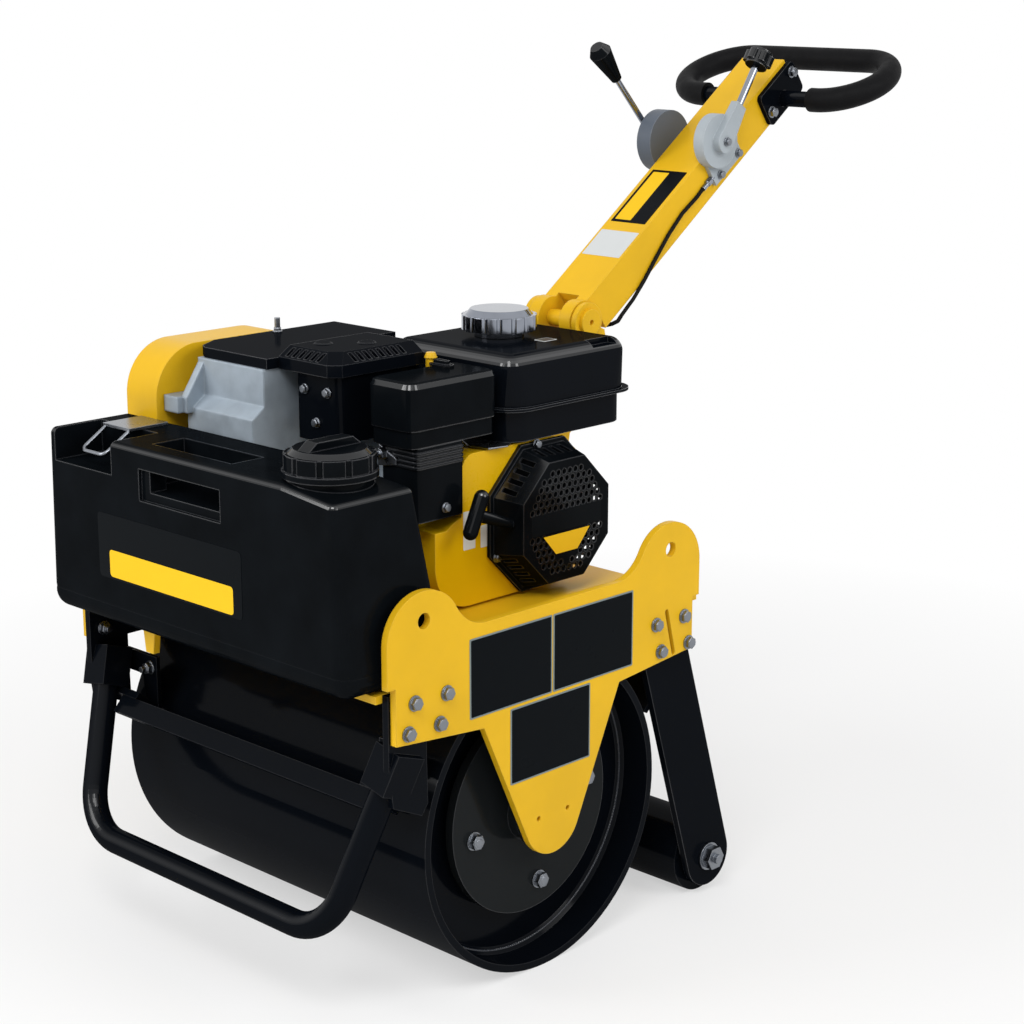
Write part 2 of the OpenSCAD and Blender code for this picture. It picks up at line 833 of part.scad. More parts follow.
// Fan shroud: round behind the starter, with the duct that leads forward to the cylinder and the
// belly below it
module fan_shroud() {
  duct_rise = shroud_r - 2;
  belly = [24, 196];
  belly_foot = 4 - crank_rise;
  belly_top = 7;
  belly_r = 62;
  belly_c = [belly[1] - belly_r, belly_foot + belly_r];
  color(yellow) placed() on_engine() slab(shroud_y - shroud_depth, shroud_y) translate(crank) {
    circle(shroud_r);
    round_rect([-10, -45], [shroud_front, duct_rise], 24);
    translate(belly_c) circle(belly_r);
    translate([belly[0], belly_foot]) square([belly_c[0] - belly[0], belly_top - belly_foot]);
    translate([belly[0], belly_c[1]]) square([belly[1] - belly[0], belly_top - belly_c[1]]);
  }
}

// An eight-sided outline with flats at top, bottom and sides
module octagon(flats) {
  rotate(22.5) circle(d = flats / cos(22.5), $fn = 8);
}

// An eight-sided cone along Y, given its size across flats at each end
module cage(from_w, to_w, y_from, y_to) {
  translate([0, y_from, 0]) rotate([-90, 0, 0]) rotate(22.5)
    cylinder(d1 = from_w / cos(22.5), d2 = to_w / cos(22.5), h = y_to - y_from, $fn = 8);
}

// The cover's face stays plain across its middle and in the wedge below that
function plain(p) =
  abs(p[1]) < band_h / 2 || (p[1] < 0 && abs(p[0]) < face_w / 4 + (p[1] + band_h / 2) * 0.8);

// Rows of six-sided air holes inside a circle
module vents(reach) {
  row = vent_pitch * cos(30);
  rows = floor(reach / row);
  cols = floor(reach / vent_pitch);
  for (j = [-rows : rows])
    for (i = [-cols : cols]) {
      p = [(i + (j % 2 == 0 ? 0 : 0.5)) * vent_pitch, j * row];
      if (norm(p) < reach && !plain(p))
        translate(p) rotate(30) circle(d = vent_w / cos(30), $fn = 6);
    }
}

// Starter cover: flange, tapered eight-sided cage with slotted sides, and the face with its air holes
module recoil_cover() {
  flange_t = 6;
  back_t = 2;
  inner = -2 * recoil_wall;
  side_slot = [20, recoil_depth - 28, 7];
  slots = 4;
  slot_pitch = 16;
  color(black) placed() on_engine() translate([crank[0], shroud_y, crank[1]]) difference() {
    union() {
      slab(0, flange_t) octagon(recoil_w);
      cage(cage_w, face_w, 0, recoil_depth);
    }
    cage(cage_w + inner, face_w + inner, back_t, recoil_depth - recoil_wall);
    slab(recoil_depth - recoil_wall - over, recoil_depth + over) vents(face_w / 2 - 8);
    for (k = [1 : 7])
      rotate([0, 45 * k, 0])
        for (i = [0 : slots - 1])
          translate([cage_w / 2 - side_slot[0] + over, 11,
            (i - slots / 2 + 0.5) * slot_pitch - side_slot[2] / 2]) cube(side_slot);
  }
}

// Starter's pull handle, a cross bar on a neck that meets the cage's front flat
module recoil_handle() {
  lean = 25;
  bar_x = cage_w / 2 + 58;
  bar_z = 31;
  pull_y = recoil_depth - 17;
  neck_turn = -110;
  root_x = cage_w / 2 - (cage_w - face_w) / 2 * (pull_y - pull_d / 2) / recoil_depth + run_clear;
  color(dark_plastic) placed() on_engine()
    translate([crank[0], shroud_y + pull_y, crank[1]]) difference() {
    union() {
      translate([bar_x, 0, bar_z]) rotate([0, -lean, 0]) hull()
        for (s = [-1, 1])
          translate([0, 0, s * (pull_len - pull_d) / 2]) sphere(d = pull_d, $fn = 24);
      translate([bar_x, 0, bar_z]) rotate([0, neck_turn, 0]) cylinder(d1 = 18, d2 = 13, h = 70);
    }
    translate([0, -pull_d, -cage_w / 2]) cube([root_x, 2 * pull_d, cage_w]);
  }
}

// Air cleaner: base and lid with a seam between them, the lid rounded at its top
module air_cleaner() {
  a = [air_front - air_len, air_side - air_w];
  b = [air_front, air_side];
  lid_z = air_top - lid_h;
  r = 16;
  top_r = 8;
  inset = 3;
  color(dark_plastic) placed() on_engine() {
    round_block([a[0] + inset, a[1] + inset, panel_z], [b[0] - inset, b[1] - inset, lid_z + over],
      r - inset);
    hull() {
      for (x = [a[0] + r, b[0] - r])
        for (y = [a[1] + r, b[1] - r]) {
          translate([x, y, lid_z]) cylinder(r = r, h = lid_h - top_r, $fn = 32);
          translate([x, y, lid_z]) cylinder(r = r - 3, h = lid_h - 2, $fn = 32);
          translate([x, y, lid_z]) cylinder(r = r - top_r, h = lid_h, $fn = 32);
        }
    }
  }
}

// Carburettor's cover under the air cleaner, with its ribs and the panel's foot
module carburettor_cover() {
  back = 8;
  a = [crank[0] + shroud_front, air_side - air_w + 12, panel_z - panel_h];
  b = [air_front - 13, air_side - 3, panel_z];
  ribs = 4;
  rib_pitch = 6;
  rib_t = 3;
  proud = 2;
  color(dark_plastic) placed() on_engine() {
    round_block(a, b, back);
    for (i = [1 : ribs])
      round_block([a[0], a[1], b[2] - i * rib_pitch - rib_t],
        [b[0] + proud, b[1] + proud, b[2] - i * rib_pitch], back);
  }
}

// Outline of the silencer's guard with its front left corner cut off
module muffler_outline(inset) {
  cut = 14;
  x = [muffler_front - muffler_len, muffler_front - inset];
  y = [muffler_side - muffler_w, muffler_side - inset];
  polygon([[x[0], y[0]], [x[1], y[0]], [x[1], y[1] - cut], [x[1] - cut, y[1]], [x[0], y[1]]]);
}

// Silencer under its guard, whose front and left slopes are slotted
module muffler() {
  hem = 16;
  slope_z = muffler_top - slope_drop;
  guard_foot = slope_z - hem;
  front_slots = 6;
  side_slots = 8;
  slot = [slope_w - 6, 6, slope_drop + 4];
  pitch = 12;
  side_in = 13;
  color(black) placed() on_engine() difference() {
    union() {
      translate([0, 0, guard_foot]) linear_extrude(hem) muffler_outline(0);
      hull() {
        translate([0, 0, slope_z - over]) linear_extrude(over) muffler_outline(0);
        translate([0, 0, muffler_top - over]) linear_extrude(over) muffler_outline(slope_w);
      }
      round_block([muffler_front - muffler_len - side_in, muffler_side - muffler_w + side_in,
        guard_foot - silencer_h], [muffler_front - side_in, muffler_side - side_in,
        guard_foot + over], 16);
    }
    for (i = [0 : front_slots - 1])
      translate([muffler_front - slope_w + 3, muffler_side - muffler_w + 10 + i * pitch,
        slope_z - 2]) cube(slot);
    for (i = [0 : side_slots - 1])
      translate([muffler_front - 44 - i * pitch, muffler_side - slope_w + 3, slope_z - 2])
        cube([slot[1], slot[0], slot[2]]);
  }
}

// Cast housing of the drum's drive: stepped front, gusset, bearing boss and lugs
module gear_housing() {
  front_x = hood_front + 4;
  base_x = front_x - gear_len;
  y1 = gear_side;
  y0 = gear_far;
  top_z = hood_top - hood_t;
  step_z = top_z - 49;
  foot_z = deck_top;
  gusset = [30, 12];
  boss_d = gear_boss_d;
  lug = [40, 30, 22];
  color(alloy) placed() on_engine() {
    slab(y0, y1) polygon([[base_x, foot_z], [front_x + gear_step, foot_z],
      [front_x + gear_step, step_z - 15], [front_x, step_z], [front_x, top_z], [base_x, top_z]]);
    slab(y0, y0 + gusset[1]) polygon([[front_x - over, top_z - 6], [front_x, top_z - 6],
      [front_x + gusset[0], step_z - over], [front_x + gusset[0], step_z - lug[2]],
      [front_x - over, step_z - lug[2]]]);
    translate([base_x + 40, y0, top_z - 50]) rotate([0, 90, 0])
      cylinder(d = boss_d, h = gear_len - 40);
    translate([front_x - over, y0 - boss_d / 2, step_z - lug[2]]) cube(lug);
  }
}

// Flat hood over the drive, cut back at its far front corner and round the fuel tank
module hood() {
  x = [hood_front - hood_len, hood_front];
  y1 = muffler_side - muffler_w - touch_gap;
  y0 = y1 - hood_w;
  cut = [45, 36];
  notch = [fuel_len - fuel_rear + 6, fuel_side - fuel_w - 6];
  color(black) placed() on_engine() translate([0, 0, hood_top - hood_t]) linear_extrude(hood_t)
    polygon([[x[0], y0], [x[1] - cut[0], y0], [x[1] - 8, y0 + cut[1] - 14], [x[1], y0 + cut[1]],
      [x[1], y1], [notch[0], y1], notch, [x[0], notch[1]]]);
}

// Outline of the belt guard, round at its upper corners
module belt_guard_outline(inset) {
  front_x = tank_rear - 5 - inset;
  a = [tank_rear - belt_len + inset, deck_top];
  b = [front_x, hood_top - inset];
  r = belt_r - inset;
  translate(a) square([b[0] - a[0], b[1] - a[1] - r]);
  translate([a[0] + r, a[1]]) square([b[0] - a[0] - 2 * r, b[1] - a[1]]);
  for (x = [a[0] + r, b[0] - r]) translate([x, b[1] - r]) circle(r);
}

// Sheet guard round the belt, closed on both sides and open underneath
module belt_guard() {
  side = [belt_far, belt_near];
  color(yellow) placed() difference() {
    slab(side[0], side[1]) belt_guard_outline(0);
    slab(side[0] + belt_wall, side[1] - belt_wall)
      translate([0, -over]) belt_guard_outline(belt_wall);
  }
}

// Pressed fuel tank: upper shell with a shallow seat in its near edge, flange and lower shell
module fuel_tank() {
  a = [-fuel_rear, fuel_side - fuel_w];
  b = [a[0] + fuel_len, fuel_side];
  inset = 7;
  lower_in = 13;
  flange_t = 4;
  draft = 5;
  r = fuel_r;
  rt = fuel_top_r;
  seat = [48, 32, 9];
  seat_x = a[0] + 33;
  color(black) placed() on_engine() difference() {
    union() {
      hull() {
        for (x = [a[0] + inset + r, b[0] - inset - r])
          for (y = [a[1] + inset + r, b[1] - inset - r])
            translate([x, y, seam_z]) cylinder(r = r, h = 10, $fn = 32);
        for (x = [a[0] + inset + draft + rt, b[0] - inset - draft - rt])
          for (y = [a[1] + inset + draft + rt, b[1] - inset - draft - rt])
            translate([x, y, fuel_top - rt]) sphere(rt, $fn = 32);
      }
      round_block([a[0], a[1], seam_z - flange_t / 2], [b[0], b[1], seam_z + flange_t / 2], r);
      round_block([a[0] + lower_in, a[1] + lower_in, fuel_foot],
        [b[0] - lower_in, b[1] - lower_in, seam_z], r - 6);
    }
    translate([seat_x, fuel_side - seat[1], fuel_top - seat[2]]) cube(seat + [0, 0, over]);
  }
}

// Fuel cap with a scalloped rim, on its neck
module fuel_cap() {
  lobes = 16;
  cap_x = -fuel_rear + fuel_len / 2 + 5;
  cap_y = fuel_side - fuel_w / 2 - 15;
  neck_h = 9;
  dome = 8;
  color(steel) placed() on_engine() translate([cap_x, cap_y, fuel_top]) {
    cylinder(d = fuel_cap_d * 0.66, h = neck_h + over);
    translate([0, 0, neck_h]) linear_extrude(fuel_cap_h - neck_h - dome) difference() {
      circle(d = fuel_cap_d);
      for (i = [0 : lobes - 1])
        rotate(i * 360 / lobes) translate([fuel_cap_d / 2 + 2, 0]) circle(d = 9, $fn = 16);
    }
    translate([0, 0, fuel_cap_h - dome - over])
      cylinder(d1 = fuel_cap_d - 8, d2 = fuel_cap_d - 24, h = dome + over);
  }
}

// Side view of the post: it leans back under the fuel tank and turns up to the hinge
module post_profile() {
  foot_x = hinge[0] + 62;
  front_x = -fuel_rear - tank_clear;
  knee = [hinge[0] + 30, fuel_foot - 37];
  polygon([[foot_x, deck_top], [foot_x + post_t, deck_top], knee + [post_t, 15],
    [front_x, fuel_foot + 2], [front_x, hinge[1] - 22], hinge, hinge + [-34, -14],
    hinge + [-48, -82], knee]);
}

// Post with the two ears that hold the hinge pin
module handle_post() {
  lug_room = 2 * (norm([beam_start, beam_h - arm_lift]) + 6);
  ear_drop = 90;
  pin_bore = pin_d + 2 * run_clear;
  color(yellow) placed() {
    difference() {
      slab(-post_half, post_half) post_profile();
      bar_y(lug_room, -post_half - over, post_half + over, hinge[0], hinge[1]);
    }
    for (s = [0, 1]) mirror([0, s, 0]) slab(ear_in, ear_out) difference() {
      union() {
        translate(hinge) circle(lug_r - 2);
        intersection() {
          post_profile();
          translate(hinge - [lug_room, ear_drop]) square([2 * lug_room, ear_drop]);
        }
      }
      translate(hinge) circle(d = pin_bore);
    }
  }
}

// Hinge pin with a round head on its left end
module hinge_pin() {
  head_t = 6;
  color(yellow) placed() difference() {
    union() {
      bar_y(pin_d, -ear_out - head_t, ear_out + over, hinge[0], hinge[1]);
      bar_y(pin_head_d, ear_out, ear_out + head_t, hinge[0], hinge[1]);
    }
    bar_y(8, ear_out + over, ear_out + head_t + over, hinge[0], hinge[1]);
  }
}

// Drum: shell, two webs and the weld beads that join them
module drum_shell() {
  r = drum_d / 2;
  inner = r - drum_wall;
  color(black) placed() translate([0, 0, axle_z]) rotate([-90, 0, 0]) {
    difference() {
      translate([0, 0, -drum_w / 2]) cylinder(r = r, h = drum_w);
      translate([0, 0, -drum_w / 2 - over]) cylinder(r = inner, h = drum_w + 2 * over);
    }
    for (s = [0, 1]) mirror([0, 0, s]) difference() {
      union() {
        translate([0, 0, web_y - web_t]) cylinder(r = inner + over, h = web_t);
        rotate_extrude()
          polygon([[inner + over, web_y], [inner + over, web_y + bead], [inner, web_y + bead],
            [inner - bead, web_y], [inner - bead, web_y - over], [inner + over, web_y - over]]);
      }
      translate([0, 0, web_y - web_t - over])
        cylinder(d = exciter_d + 2 * run_clear, h = web_t + 2 * over);
    }
  }
}

module exciter_housing() {
  color(black) placed() bar_y(exciter_d, -web_y, web_y, 0, axle_z);
}

module drum_disc() {
  color(black) difference() {
    union() {
      bar_y(disc_d, disc_in, disc_out, 0, axle_z);
      bar_y(hub_d, disc_out - over, disc_out + hub_len, 0, axle_z);
    }
    bar_y(axle_d + 2 * run_clear, disc_in - over, disc_out + hub_len + over, 0, axle_z);
  }
}

module drum_disc_left() {
  placed() drum_disc();
}

module drum_disc_right() {
  placed() other_side() drum_disc();
}

module drum_buffers() {
  color(rubber) placed()
    for (s = [0, 1]) mirror([0, s, 0])
      for (i = [0 : 3]) {
        a = i * 90 - buffer_turn;
        bar_y(buffer_d, web_y, disc_in, buffer_pcd / 2 * cos(a),
          axle_z + buffer_pcd / 2 * sin(a));
      }
}

// Box-section arm with the two round lugs of its hinge
module handle_arm() {
  tube_hole = loop_d + 2 * run_clear;
  color(yellow) placed() on_arm() difference() {
    union() {
      translate([-beam_end, -beam_w / 2, -beam_h]) cube([beam_end - beam_start, beam_w, beam_h]);
      for (s = [-1, 1])
        translate([0, s * (lug_out - lug_t / 2), -arm_lift]) slab(-lug_t / 2, lug_t / 2) {
          circle(lug_r);
          translate([-beam_start - 16, -arm_lift]) square([beam_start + 16, 2 * arm_lift]);
        }
    }
    translate([-beam_end - over, -beam_w / 2 + beam_wall, -beam_h + beam_wall])
      cube([beam_end - beam_start - 10, beam_w - 2 * beam_wall, beam_h - 2 * beam_wall]);
    bar_y(pin_d + 2 * run_clear, -beam_w, beam_w, 0, -arm_lift);
    bar_y(tube_hole, -beam_w, beam_w, -loop_s, loop_h);
  }
}

// The left lever's frame, at its hub on the arm's side: X runs out along the lever
module on_left_lever() {
  on_arm() translate([-lever_s, beam_w / 2, box_left_h]) rotate([0, 180 + lever_left_angle, 0])
    children();
}

// The right lever's frame, likewise
module on_right_lever() {
  on_arm() other_side() translate([-box_right_s, beam_w / 2, box_right_h])
    rotate([0, 180 + lever_right_angle, 0]) children();
}

// Left control: flanged half-round box with the cast part of its lever
module lever_box_left() {
  flange = [74, 7, 52];
  cast_t = 12;
  color(grey_paint) placed() {
    on_arm() {
      bar_y(box_left_d, beam_w / 2, beam_w / 2 + box_left_t, -lever_s, box_left_h);
      translate([-lever_s - flange[0] / 2 - 4, beam_w / 2, box_left_h - 58])
        cube(flange);
    }
    on_left_lever() translate([0, box_left_t - over, 0]) {
      bar_y(34, 0, cast_t + over, 0, 0);
      slab(0, cast_t + over) polygon([[0, -17], [cast_len, -11], [cast_len, 11], [0, 17]]);
    }
  }
}

// Right control: round box on a flat foot, with the lever's hub
module lever_box_right() {
  foot = [64, 10, 40];
  color(grey_paint) placed() on_arm() other_side() {
    bar_y(box_right_d, beam_w / 2, beam_w / 2 + box_right_t, -box_right_s, box_right_h);
    bar_y(34, beam_w / 2 + box_right_t - over, beam_w / 2 + box_right_t + 10, -box_right_s,
      box_right_h);
    translate([-box_right_s - foot[0] / 2, beam_w / 2, box_right_h - box_right_d / 2 - 12])
      cube(foot);
  }
}

module lever_left() {
  color(steel) placed() on_left_lever() translate([cast_len, box_left_t + 6, 0])
    rotate([0, 90, 0]) cylinder(d = rod_d, h = lever_len - cast_len);
}

module lever_right() {
  start = 17;
  color(steel) placed() on_right_lever() translate([0, box_right_t + 5, 0]) difference() {
    rotate([0, 90, 0]) cylinder(d = rod_d - 2, h = lever_len);
    bar_y(2 * (start + touch_gap), -rod_d, rod_d, 0, 0);
  }
}

// Star knob on the left lever
module knob_left() {
  lobes = 6;
  knob_d = 34;
  knob_h = 24;
  color(dark_plastic) placed() on_left_lever() translate([lever_len, box_left_t + 6, 0])
    rotate([0, 90, 0]) {
      cylinder(d = knob_d, h = knob_h);
      for (i = [0 : lobes - 1])
        rotate(i * 360 / lobes) translate([15, 0, 4]) cylinder(d = 14, h = knob_h - 8);
    }
}

// Tapered grip on the right lever
module knob_right() {
  grip_h = 54;
  cap_t = 12;
  color(dark_plastic) placed() on_right_lever() translate([lever_len, box_right_t + 5, 0])
    rotate([0, 90, 0]) {
      cylinder(d1 = 16, d2 = 34, h = grip_h);
      translate([0, 0, grip_h]) cylinder(d1 = 34, d2 = 20, h = cap_t);
    }
}

// Course of the control cable along the arm, as distance up the arm and height above its face
cable_course = [[318, -34], [290, -36], [250, -34], [210, -39], [170, -48], [130, -58], [96, -64],
  [62, -66]];
cable_sides = 8;
cable_flat = cable_d / 2 * cos(180 / cable_sides);

// Direction square to the cable at its point i
function cable_normal(i) =
  let (a = cable_course[max(i - 1, 0)], b = cable_course[min(i + 1, len(cable_course) - 1)],
    d = (b - a) / norm(b - a)) [d[1], -d[0]];

// Cable swept along its course on the arm's left side
module control_cable() {
  n = cable_sides;
  last = len(cable_course) - 1;
  points = [for (i = [0 : last]) for (k = [0 : n - 1])
    let (t = (k + 0.5) * 360 / n, q = cable_course[i] + cable_d / 2 * cos(t) * cable_normal(i))
      [-q[0], beam_w / 2 + cable_flat + cable_d / 2 * sin(t), q[1]]];
  sides = [for (i = [0 : last - 1]) for (k = [0 : n - 1])
    [i * n + k, i * n + (k + 1) % n, (i + 1) * n + (k + 1) % n, (i + 1) * n + k]];
  ends = [[for (k = [n - 1 : -1 : 0]) k], [for (k = [0 : n - 1]) last * n + k]];
  color(rubber) placed() on_arm() polyhedron(points, concat(sides, ends));
}

// Plates on both sides of the arm that clamp the loop handle's tube
module loop_bracket() {
  plate = 8;
  color(black) placed() on_arm()
    for (s = [0, 1]) mirror([0, s, 0]) slab(beam_w / 2, beam_w / 2 + plate) difference() {
      round_rect([-loop_s - 48, loop_h - 18], [-loop_s + 46, loop_h + 36], 8);
      translate([-loop_s, loop_h]) circle(d = loop_d + 2 * run_clear);
    }
}

// The loop's own frame: X runs from its front bar to its back bar, Y across
module on_loop() {
  on_arm() translate([-loop_s, 0, loop_h]) rotate([0, 180 + loop_rise - arm_pitch, 0]) children();
}

// One round end of the loop
module loop_end(d) {
  translate([loop_depth / 2, loop_straight, 0]) rotate_extrude(angle = 180)
    translate([loop_depth / 2, 0]) circle(d = d);
}

module loop_tube() {
  color(black) placed() on_loop() {
    bar_y(loop_d, -loop_straight, loop_straight, 0, 0);
    bar_y(loop_d, -loop_straight, loop_straight, loop_depth, 0);
    loop_end(loop_d);
    other_side() loop_end(loop_d);
  }
}

// Foam grip slipped over the loop, open at the front between the brackets
module loop_grip() {
  grip_start = 100;
  bore = loop_d + 2 * run_clear;
  color(rubber) placed() on_loop() difference() {
    union() {
      bar_y(grip_d, -loop_straight, loop_straight, loop_depth, 0);
      for (s = [0, 1]) mirror([0, s, 0]) {
        bar_y(grip_d, grip_start, loop_straight, 0, 0);
        loop_end(grip_d);
      }
    }
    bar_y(bore, -loop_straight, loop_straight, loop_depth, 0);
    for (s = [0, 1]) mirror([0, s, 0]) {
      bar_y(bore, grip_start - over, loop_straight, 0, 0);
      loop_end(bore);
    }
  }
}

side_plate_left();
side_plate_right();
stub_axle_left();
stub_axle_right();
deck();
rear_arm_left();
rear_arm_right();
rear_axle();
guard_bracket_left();
guard_bracket_right();
front_guard();
front_scraper();
rear_scraper();
water_tank();
water_cap();
tank_bail();
engine_block();
fan_shroud();
recoil_cover();
recoil_handle();
air_cleaner();
carburettor_cover();
muffler();
gear_housing();
hood();
belt_guard();
fuel_tank();
fuel_cap();
handle_post();
hinge_pin();
drum_shell();
exciter_housing();
drum_disc_left();
drum_disc_right();
drum_buffers();
rear_roller();
handle_arm();
lever_box_left();
lever_left();
knob_left();
lever_box_right();
lever_right();
knob_right();
control_cable();
loop_bracket();
loop_tube();
loop_grip();
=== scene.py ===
"""Looks of a walk-behind road roller: finishes, fasteners, labels, trim and studio."""

import json
import math

import bmesh
import bpy
from bpy.props import FloatProperty, FloatVectorProperty, PointerProperty
from bpy.types import Operator, Panel, PropertyGroup
from mathutils import Matrix, Vector


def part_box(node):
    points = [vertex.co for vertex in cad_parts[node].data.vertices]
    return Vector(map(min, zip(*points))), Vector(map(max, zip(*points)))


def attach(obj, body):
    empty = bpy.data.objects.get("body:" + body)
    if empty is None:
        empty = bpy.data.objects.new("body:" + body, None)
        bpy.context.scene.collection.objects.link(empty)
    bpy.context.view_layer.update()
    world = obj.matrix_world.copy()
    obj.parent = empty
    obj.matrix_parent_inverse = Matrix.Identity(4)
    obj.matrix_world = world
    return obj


bl_info = {
    "name": "Road roller looks",
    "version": (1, 0, 0),
    "blender": (4, 5, 0),
    "location": "View3D > Sidebar > Roller",
    "description": "Finishes, fasteners, labels and studio for a walk-behind road roller",
    "category": "Object",
}

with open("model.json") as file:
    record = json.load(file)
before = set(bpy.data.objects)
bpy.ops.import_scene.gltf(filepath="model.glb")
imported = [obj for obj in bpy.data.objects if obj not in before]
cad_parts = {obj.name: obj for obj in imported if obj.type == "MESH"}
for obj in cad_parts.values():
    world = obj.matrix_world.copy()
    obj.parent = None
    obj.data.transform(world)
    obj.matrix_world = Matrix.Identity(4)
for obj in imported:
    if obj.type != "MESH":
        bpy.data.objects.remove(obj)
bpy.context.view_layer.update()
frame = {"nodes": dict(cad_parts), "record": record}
MM = 0.001

# Places are given in millimetres from the ground under the drum's axle: X forward, Y left, Z up
_drum_low, _drum_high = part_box("drum_shell")
AXLE = Vector(((_drum_low.x + _drum_high.x) / 2, 0.0, 0.0))


def at(x, y, z):
    """A place in millimetres from the ground under the drum's axle, in the frame's metres."""
    return AXLE + Vector((x, y, z)) * MM


def edge(node, axis, side):
    """Where a CAD node ends along an axis, in millimetres from under the drum's axle."""
    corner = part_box(node)[side] - AXLE
    return corner[axis] / MM


X, Y, Z = range(3)
LOW, HIGH = range(2)
FORWARD, LEFT, UP = (1, 0, 0), (0, 1, 0), (0, 0, 1)

# Faces that pieces lie on; a plate's bolts clamp the plate and the part behind it
CLAMPED_T = 20.0
PLATE_FACE = edge("side_plate_left", Y, HIGH)
PLATE_BACK = PLATE_FACE - CLAMPED_T
DISC_T = 13.0
DISC_FACE = edge("drum_disc_left", Y, LOW) + DISC_T
TANK_FACE = edge("water_tank", X, HIGH)
STARTER_FACE = edge("recoil_cover", Y, HIGH)
SHROUD_FACE = edge("fan_shroud", Y, HIGH)
FUEL_TOP = edge("fuel_tank", Z, HIGH)
LID_TOP = edge("air_cleaner", Z, HIGH)
HOOD_TOP = edge("hood", Z, HIGH)
MUFFLER_TOP = edge("muffler", Z, HIGH)
ARM_SIDE = edge("handle_arm", Y, HIGH)

# Middles that several pieces share
AXLE_HEIGHT = 212.5
STARTER_X, STARTER_Z = -158.0, 555.0
HOOD_STUD = (0.0, -212.0)

# The arm's own frame: the hinge's place, the way up the arm and the way square to its upper face
HINGE = Vector([(edge("hinge_pin", axis, LOW) + edge("hinge_pin", axis, HIGH)) / 2
                for axis in (X, Y, Z)])
ARM_PITCH = math.radians(36.0)
ARM_LIFT = 20.0
ARM_UP = Vector((-math.cos(ARM_PITCH), 0.0, math.sin(ARM_PITCH)))
ARM_OUT = Vector((math.sin(ARM_PITCH), 0.0, math.cos(ARM_PITCH)))


def on_arm(s, y, h):
    """A place on the handle's arm: distance up the arm, across, and height over its upper face."""
    return HINGE + ARM_UP * s + ARM_OUT * (ARM_LIFT + h) + Vector((0.0, y, 0.0))


# Sizes and colours that a user would change


class RollerColours(PropertyGroup):
    """Base colours of the machine's finishes, as linear light."""

    yellow: FloatVectorProperty(
        name="Yellow enamel", description="Enamel on plates, arm and guards",
        subtype="COLOR", size=3, min=0, max=1, default=(0.76, 0.445, 0.011))
    black: FloatVectorProperty(
        name="Black enamel", description="Enamel on drum, arms and guard",
        subtype="COLOR", size=3, min=0, max=1, default=(0.0026, 0.0036, 0.0056))
    plastic: FloatVectorProperty(
        name="Black plastic", description="Moulded tank and engine covers",
        subtype="COLOR", size=3, min=0, max=1, default=(0.0028, 0.0037, 0.0048))
    grey: FloatVectorProperty(
        name="Grey paint", description="Paint on the control boxes",
        subtype="COLOR", size=3, min=0, max=1, default=(0.36, 0.40, 0.43))


class RollerBolts(PropertyGroup):
    """Sizes of the hexagon bolts, in metres."""

    plate: FloatProperty(
        name="Plate bolts", description="Width across the flats of the side plates' bolts",
        subtype="DISTANCE", default=0.0145, min=0.008, max=0.02)
    disc: FloatProperty(
        name="Disc bolts", description="Width across the flats of the drum discs' bolts",
        subtype="DISTANCE", default=0.018, min=0.01, max=0.026)
    small: FloatProperty(
        name="Small screws", description="Width across the flats of the covers' screws",
        subtype="DISTANCE", default=0.010, min=0.005, max=0.014)


class RollerStudio(PropertyGroup):
    """Camera and backdrop of the studio."""

    lens: FloatProperty(
        name="Lens", description="Focal length on a 36 mm sensor", subtype="DISTANCE_CAMERA",
        default=77.6, min=20, max=300)
    yaw: FloatProperty(
        name="Yaw", description="Heading of the view, from the forward axis", subtype="ANGLE",
        default=math.radians(-135.73))
    pitch: FloatProperty(
        name="Pitch", description="How far the camera looks down", subtype="ANGLE",
        default=math.radians(14.27))
    camera_place: FloatVectorProperty(
        name="Camera place", description="Camera from the ground under the drum's axle",
        subtype="TRANSLATION", size=3, default=(1.9395, 2.1324, 1.2919))
    backdrop: FloatVectorProperty(
        name="Backdrop", description="Colour of the floor under the machine",
        subtype="COLOR", size=3, min=0, max=1, default=(0.88, 0.88, 0.88))


# Shader maths

# Where most of a noise's values lie
NOISE_MIDDLE = (0.3, 0.7)
# Cosines between a rounded and a flat normal: a full edge, and none
EDGE_TURN = (0.80, 0.985)
# Upward shares of a normal between which a shoulder comes in from the wall and goes out to the top
SHOULDER_IN, SHOULDER_OUT = (0.25, 0.5), (0.65, 0.88)


class Field:
    """A value in a shader; Python's operators on it become Math nodes."""

    def __init__(self, finish, socket):
        self.finish = finish
        self.socket = socket

    def _math(self, operation, *values):
        return self.finish.add("ShaderNodeMath", {"operation": operation}, dict(enumerate(values)))

    def __add__(self, other):
        return self._math("ADD", self, other)

    def __mul__(self, other):
        return self._math("MULTIPLY", self, other)

    def largest(self, other):
        return self._math("MAXIMUM", self, other)

    def dot(self, other):
        """The dot product of two vectors."""
        return self.finish.add("ShaderNodeVectorMath", {"operation": "DOT_PRODUCT"},
                               {0: self, 1: other}, out="Value")

    def length(self):
        return self.finish.add("ShaderNodeVectorMath", {"operation": "LENGTH"}, {0: self},
                               out="Value")


